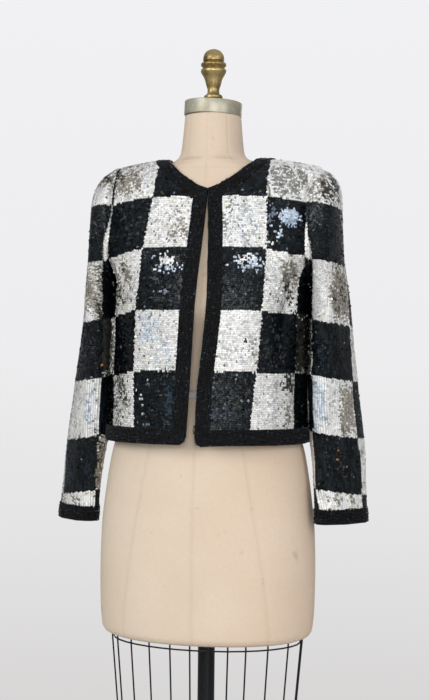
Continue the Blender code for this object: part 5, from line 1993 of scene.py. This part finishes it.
    def build_turned(self, name: str, node: str, profile: Sequence, sides: int, y: float,
                     material: bpy.types.Material) -> None:
        """Build a turned piece by spinning its outline.

        Args:
            name: The piece's name.
            node: The solid that it replaces.
            profile: Radius and height, top down.
            sides: How many steps round.
            y: Where its axis stands.
            material: Its material.
        """
        points = []
        outline = np.array(profile)
        run = np.arange(len(outline))
        fine = np.linspace(0, len(outline) - 1, (len(outline) - 1) * 3 + 1)
        radii = np.maximum(smooth(run, outline[:, 0], fine), 0.0002)
        heights = smooth(run, outline[:, 1], fine)
        turn = np.linspace(0, 2 * math.pi, sides, endpoint=False)
        for radius, height in zip(radii, heights):
            x, depth = radius * np.cos(turn), y + radius * np.sin(turn)
            points.append(np.stack([x, depth, height + 0 * turn], axis=1))
        grid = np.array(points)
        faces = [face[::-1] for face in grid_faces(len(grid), sides, True)]
        faces.append(tuple(range(sides)))
        last = (len(grid) - 1) * sides
        faces.append(tuple(reversed(range(last, last + sides))))
        obj = mesh_object(name, grid.reshape(-1, 3), faces, material)
        select_only(obj)
        bpy.ops.object.shade_smooth_by_angle(angle=math.radians(40))
        dress(obj, node)

    def build_pole(self) -> None:
        """Build the round pole."""
        obj, _ = self.cylinder("pole_tube", "pole", 64, 0.0)
        bpy.ops.object.shade_smooth_by_angle(angle=math.radians(35))
        obj.data.materials.append(self.black)
        dress(obj, "pole")


# The light and shade painted into the sequins' colour, patch by patch, in millimetres, each over
# the ones before
GLINTS = tuple(Glint(*(size / 1000 for size in row[:4]), *row[4:]) for row in (
    (-48, 1278, 14, 13, 0.7, "flash"), (-41, 1266, 26, 7, 0.42, "gleam"),
    (-50, 1241, 28, 23, 0.16, "smoke"), (-57, 1229, 14, 3, 0.4, "steel"),
    (-68, 1288, 9, 5, 0.35, "gleam"), (149, 1353, 16, 15, 0.85, "blue"),
    (144, 1358, 12, 8, 0.8, "gleam"), (118, 1358, 6, 15, 0.55, "steel"),
    (133, 1323, 6, 11, 0.55, "gleam"), (120, 1309, 6, 3, 0.5, "flash"),
    (125, 1338, 8, 5, 0.4, "gleam"), (89, 1277, 20, 13, 0.62, "gleam"),
    (82, 1282, 13, 7, 0.6, "flash"), (102, 1267, 9, 7, 0.3, "steel"),
    (51, 1271, 8, 8, 0.22, "gleam"), (75, 1226, 12, 13, 0.16, "steel"),
    (76, 1230, 28, 23, 0.1, "smoke"), (-85, 1050, 13, 39, 0.07, "flash"),
    (-37, 1054, 8, 39, 0.45, "navy"), (-79, 1013, 16, 3, 0.45, "steel"),
    (-57, 1076, 21, 20, 0.1, "smoke"), (51, 1032, 16, 15, 0.3, "navy"),
    (65, 1090, 18, 5, 0.15, "steel"), (-175, 1130, 4, 15, 0.3, "flash"),
    (-181, 1105, 2, 2, 0.8, "amber"), (226, 944, 4, 34, 0.1, "amber"),
    (-249, 930, 16, 39, 0.35, "navy"), (199, 1125, 14, 29, 0.22, "navy"),
    (122, 1149, 12, 46, 0.3, "smoke"), (137, 1135, 8, 33, 0.25, "smoke"),
    (-126, 1341, 27, 33, 0.14, "smoke"), (-204, 1132, 20, 39, 0.14, "smoke"),
    (-191, 1330, 13, 39, 0.2, "smoke"), (203, 1329, 20, 42, 0.16, "smoke"),
    (221, 940, 25, 39, 0.1, "smoke"), (-149, 1419, 40, 24, 0.74, "tan"),
    (-171, 1428, 26, 16, 0.42, "dark"), (-100, 1442, 12, 13, 0.95, "white"),
    (-173, 1402, 21, 11, 0.6, "white"), (140, 1416, 39, 31, 0.54, "ash"),
    (199, 1408, 21, 28, 0.62, "tan"), (207, 1400, 15, 23, 0.52, "dark"),
    (186, 1428, 7, 10, 0.95, "white"), (-35, 1337, 18, 36, 0.34, "tan"),
    (-73, 1357, 16, 23, 0.55, "white"), (72, 1346, 36, 42, 0.42, "pearl"),
    (47, 1357, 8, 33, 0.35, "ash"), (-128, 1244, 19, 42, 0.42, "tan"),
    (-136, 1239, 12, 39, 0.24, "dark"), (-101, 1218, 8, 20, 0.95, "white"),
    (124, 1254, 12, 39, 0.9, "white"), (149, 1257, 11, 33, 0.6, "tan"),
    (147, 1226, 7, 20, 0.36, "dark"), (-72, 1166, 18, 26, 0.8, "sky"),
    (-47, 1131, 16, 26, 0.5, "sky"), (-79, 1120, 14, 16, 0.58, "blue"),
    (-54, 1157, 28, 42, 0.42, "white"), (79, 1149, 30, 46, 0.7, "white"),
    (87, 1149, 3, 4, 0.9, "dark"), (60, 1149, 2, 3, 0.9, "dark"),
    (101, 1133, 12, 23, 0.24, "tan"), (-124, 1050, 16, 39, 0.3, "tan"),
    (-126, 1052, 14, 36, 0.22, "dark"), (-104, 1050, 4, 39, 0.95, "white"),
    (120, 1052, 20, 42, 0.72, "white"), (147, 1081, 8, 16, 0.56, "dark"),
    (150, 1034, 5, 26, 0.42, "tan"), (-191, 1232, 15, 46, 0.66, "tan"),
    (-182, 1230, 6, 42, 0.34, "dark"), (-201, 1033, 11, 39, 0.5, "sky"),
    (195, 1234, 15, 46, 0.72, "white"), (226, 1231, 14, 46, 0.95, "tan"),
    (222, 1231, 9, 42, 0.24, "dark"), (193, 1041, 12, 42, 0.75, "sky"),
    (214, 1038, 6, 39, 0.72, "white"), (237, 1034, 12, 42, 0.9, "tan"),
    (-230, 872, 30, 10, 0.3, "tan"), (230, 886, 31, 10, 0.3, "tan"),
    # Painted shade on the silver checks at the body's sides and low on the right sleeve
    (168, 1148, 16, 54, 1.6, "dark"), (-174, 1148, 12, 60, 1.7, "dark"),
    (-184, 935, 10, 55, 0.7, "dark"), (-184, 935, 10, 55, 0.5, "tan"),
))


# What the camera sees behind the object, and what lights it, from below to above
BACKDROP_STOPS = (
    (0.22, (0.66, 0.65, 0.645)), (0.36, (0.78, 0.77, 0.775)), (0.50, (0.85, 0.845, 0.86)),
    (0.76, (0.88, 0.88, 0.90)),
)
ROOM_STOPS = ((0.0, (0.26, 0.255, 0.25)), (0.45, (0.32, 0.32, 0.33)), (0.75, (0.48, 0.485, 0.51)))

# The floor: its grid, its size, and where it starts and ends to fade
FLOOR_CELLS = 60
FLOOR_SIZE = 4.0
FLOOR_FADE = (0.8, 1.95)

# Lamps, as name, place, size and power, and what they are aimed at
LAMP_AIM = Vector((0.0, 0.0, 1.15))
LAMPS = (
    ("key", (-1.7, -2.3, 2.2), 1.4, 38.0),
    ("fill", (2.3, -1.9, 1.8), 1.4, 22.0),
    ("front", (0.60, -3.0, 1.5), 1.1, 39.0),
    ("rear", (0.0, 2.6, 2.2), 1.6, 22.0),
)


@dataclass
class Studio:
    """The floor, the lights and the camera."""

    azimuth: float = 11.5
    distance: float = 2.30
    height: float = 1.134
    lens: float = 68.8
    sensor: float = 36.0
    roll: float = 0.6
    shift_x: float = 5.0 / 700.0

    def build(self) -> None:
        """Build the stage, the lights and the camera."""
        self.build_floor()
        self.build_lights()
        self.build_camera()

    def build_floor(self) -> None:
        """Lay the pale floor, which fades out before its rim."""
        bpy.ops.object.select_all(action="DESELECT")
        bpy.ops.mesh.primitive_grid_add(x_subdivisions=FLOOR_CELLS, y_subdivisions=FLOOR_CELLS,
                                        size=FLOOR_SIZE, location=(0.0, 0.0, 0.0))
        floor = bpy.context.object
        floor.name = "floor"
        away = np.array([math.hypot(*vertex.co[:2]) for vertex in floor.data.vertices])
        solid = floor.data.attributes.new("solid", "FLOAT", "POINT")
        solid.data.foreach_set("value", 1.0 - ease(*FLOOR_FADE, away).astype(np.float32))
        floor.data.materials.append(FloorFinish().build())

    def build_lights(self) -> None:
        """Hang soft lamps in a room whose pale backdrop is what the camera sees."""
        world = bpy.data.worlds.new("surround")
        book = NodeBook("surround", world)
        where = book.node("ShaderNodeTexCoord", output="Generated")
        up = book.node("ShaderNodeSeparateXYZ", inputs={0: where}, output="Z") + 0.5
        room, backdrop = book.ramp(up, ROOM_STOPS), book.ramp(up, BACKDROP_STOPS)
        is_seen = book.node("ShaderNodeLightPath", output="Is Camera Ray")
        book.feed(book.tree.nodes["Background"], {"Color": book.mix(is_seen, room, backdrop)})
        bpy.context.scene.world = world
        bpy.context.scene.view_settings.view_transform = "Standard"
        for name, place, size, power in LAMPS:
            light = bpy.data.lights.new(name, "AREA")
            light.size = size
            light.energy = power
            lamp = linked(name, light)
            lamp.location = place
            aim = LAMP_AIM - Vector(place)
            lamp.rotation_euler = aim.to_track_quat("-Z", "Y").to_euler()

    def build_camera(self) -> None:
        """Place the camera at the photograph's angle."""
        turn = math.radians(self.azimuth)
        right = Vector((math.cos(turn), math.sin(turn), 0.0))
        view = Vector((-math.sin(turn), math.cos(turn), 0.0))
        up = Vector((0.0, 0.0, 1.0))
        place = -view * self.distance + up * self.height
        axes = Matrix((right, up, -view)).transposed().to_4x4()
        data = bpy.data.cameras.new("camera")
        data.lens = self.lens
        data.sensor_width = self.sensor
        data.shift_x = self.shift_x
        camera = linked("camera", data)
        roll = Matrix.Rotation(math.radians(self.roll), 4, "Z")
        camera.matrix_world = Matrix.Translation(place) @ axes @ roll
        bpy.context.scene.camera = camera


def main() -> None:
    """Build the scene, piece by piece."""
    logging.basicConfig(level=logging.INFO, format="%(message)s")
    Studio().build()
    cap, brass, black = (
        MetalFinish(*row).build() for row in (
            ("grey_metal", (0.44, 0.415, 0.325), (0.27, 0.25, 0.18), 0.45, 0.42, 26.0, 0.0008),
            ("aged_brass", (0.50, 0.38, 0.17), (0.15, 0.10, 0.035), 0.85, 0.40, 36.0, 0.0006),
            ("black_paint", (0.0035, 0.0045, 0.006), (0.0015, 0.002, 0.0025), 0.0, 0.40, 18.0,
             0.0002),
        )
    )
    DressForm(LinenFinish().build(), cap, brass, black, TapeFinish().build()).build()
    finishes = SequinFinish().build(), BeadFinish().build(), GroundClothFinish().build()
    Jacket(*finishes, GLINTS).build()


if __name__ == "__main__":
    main()
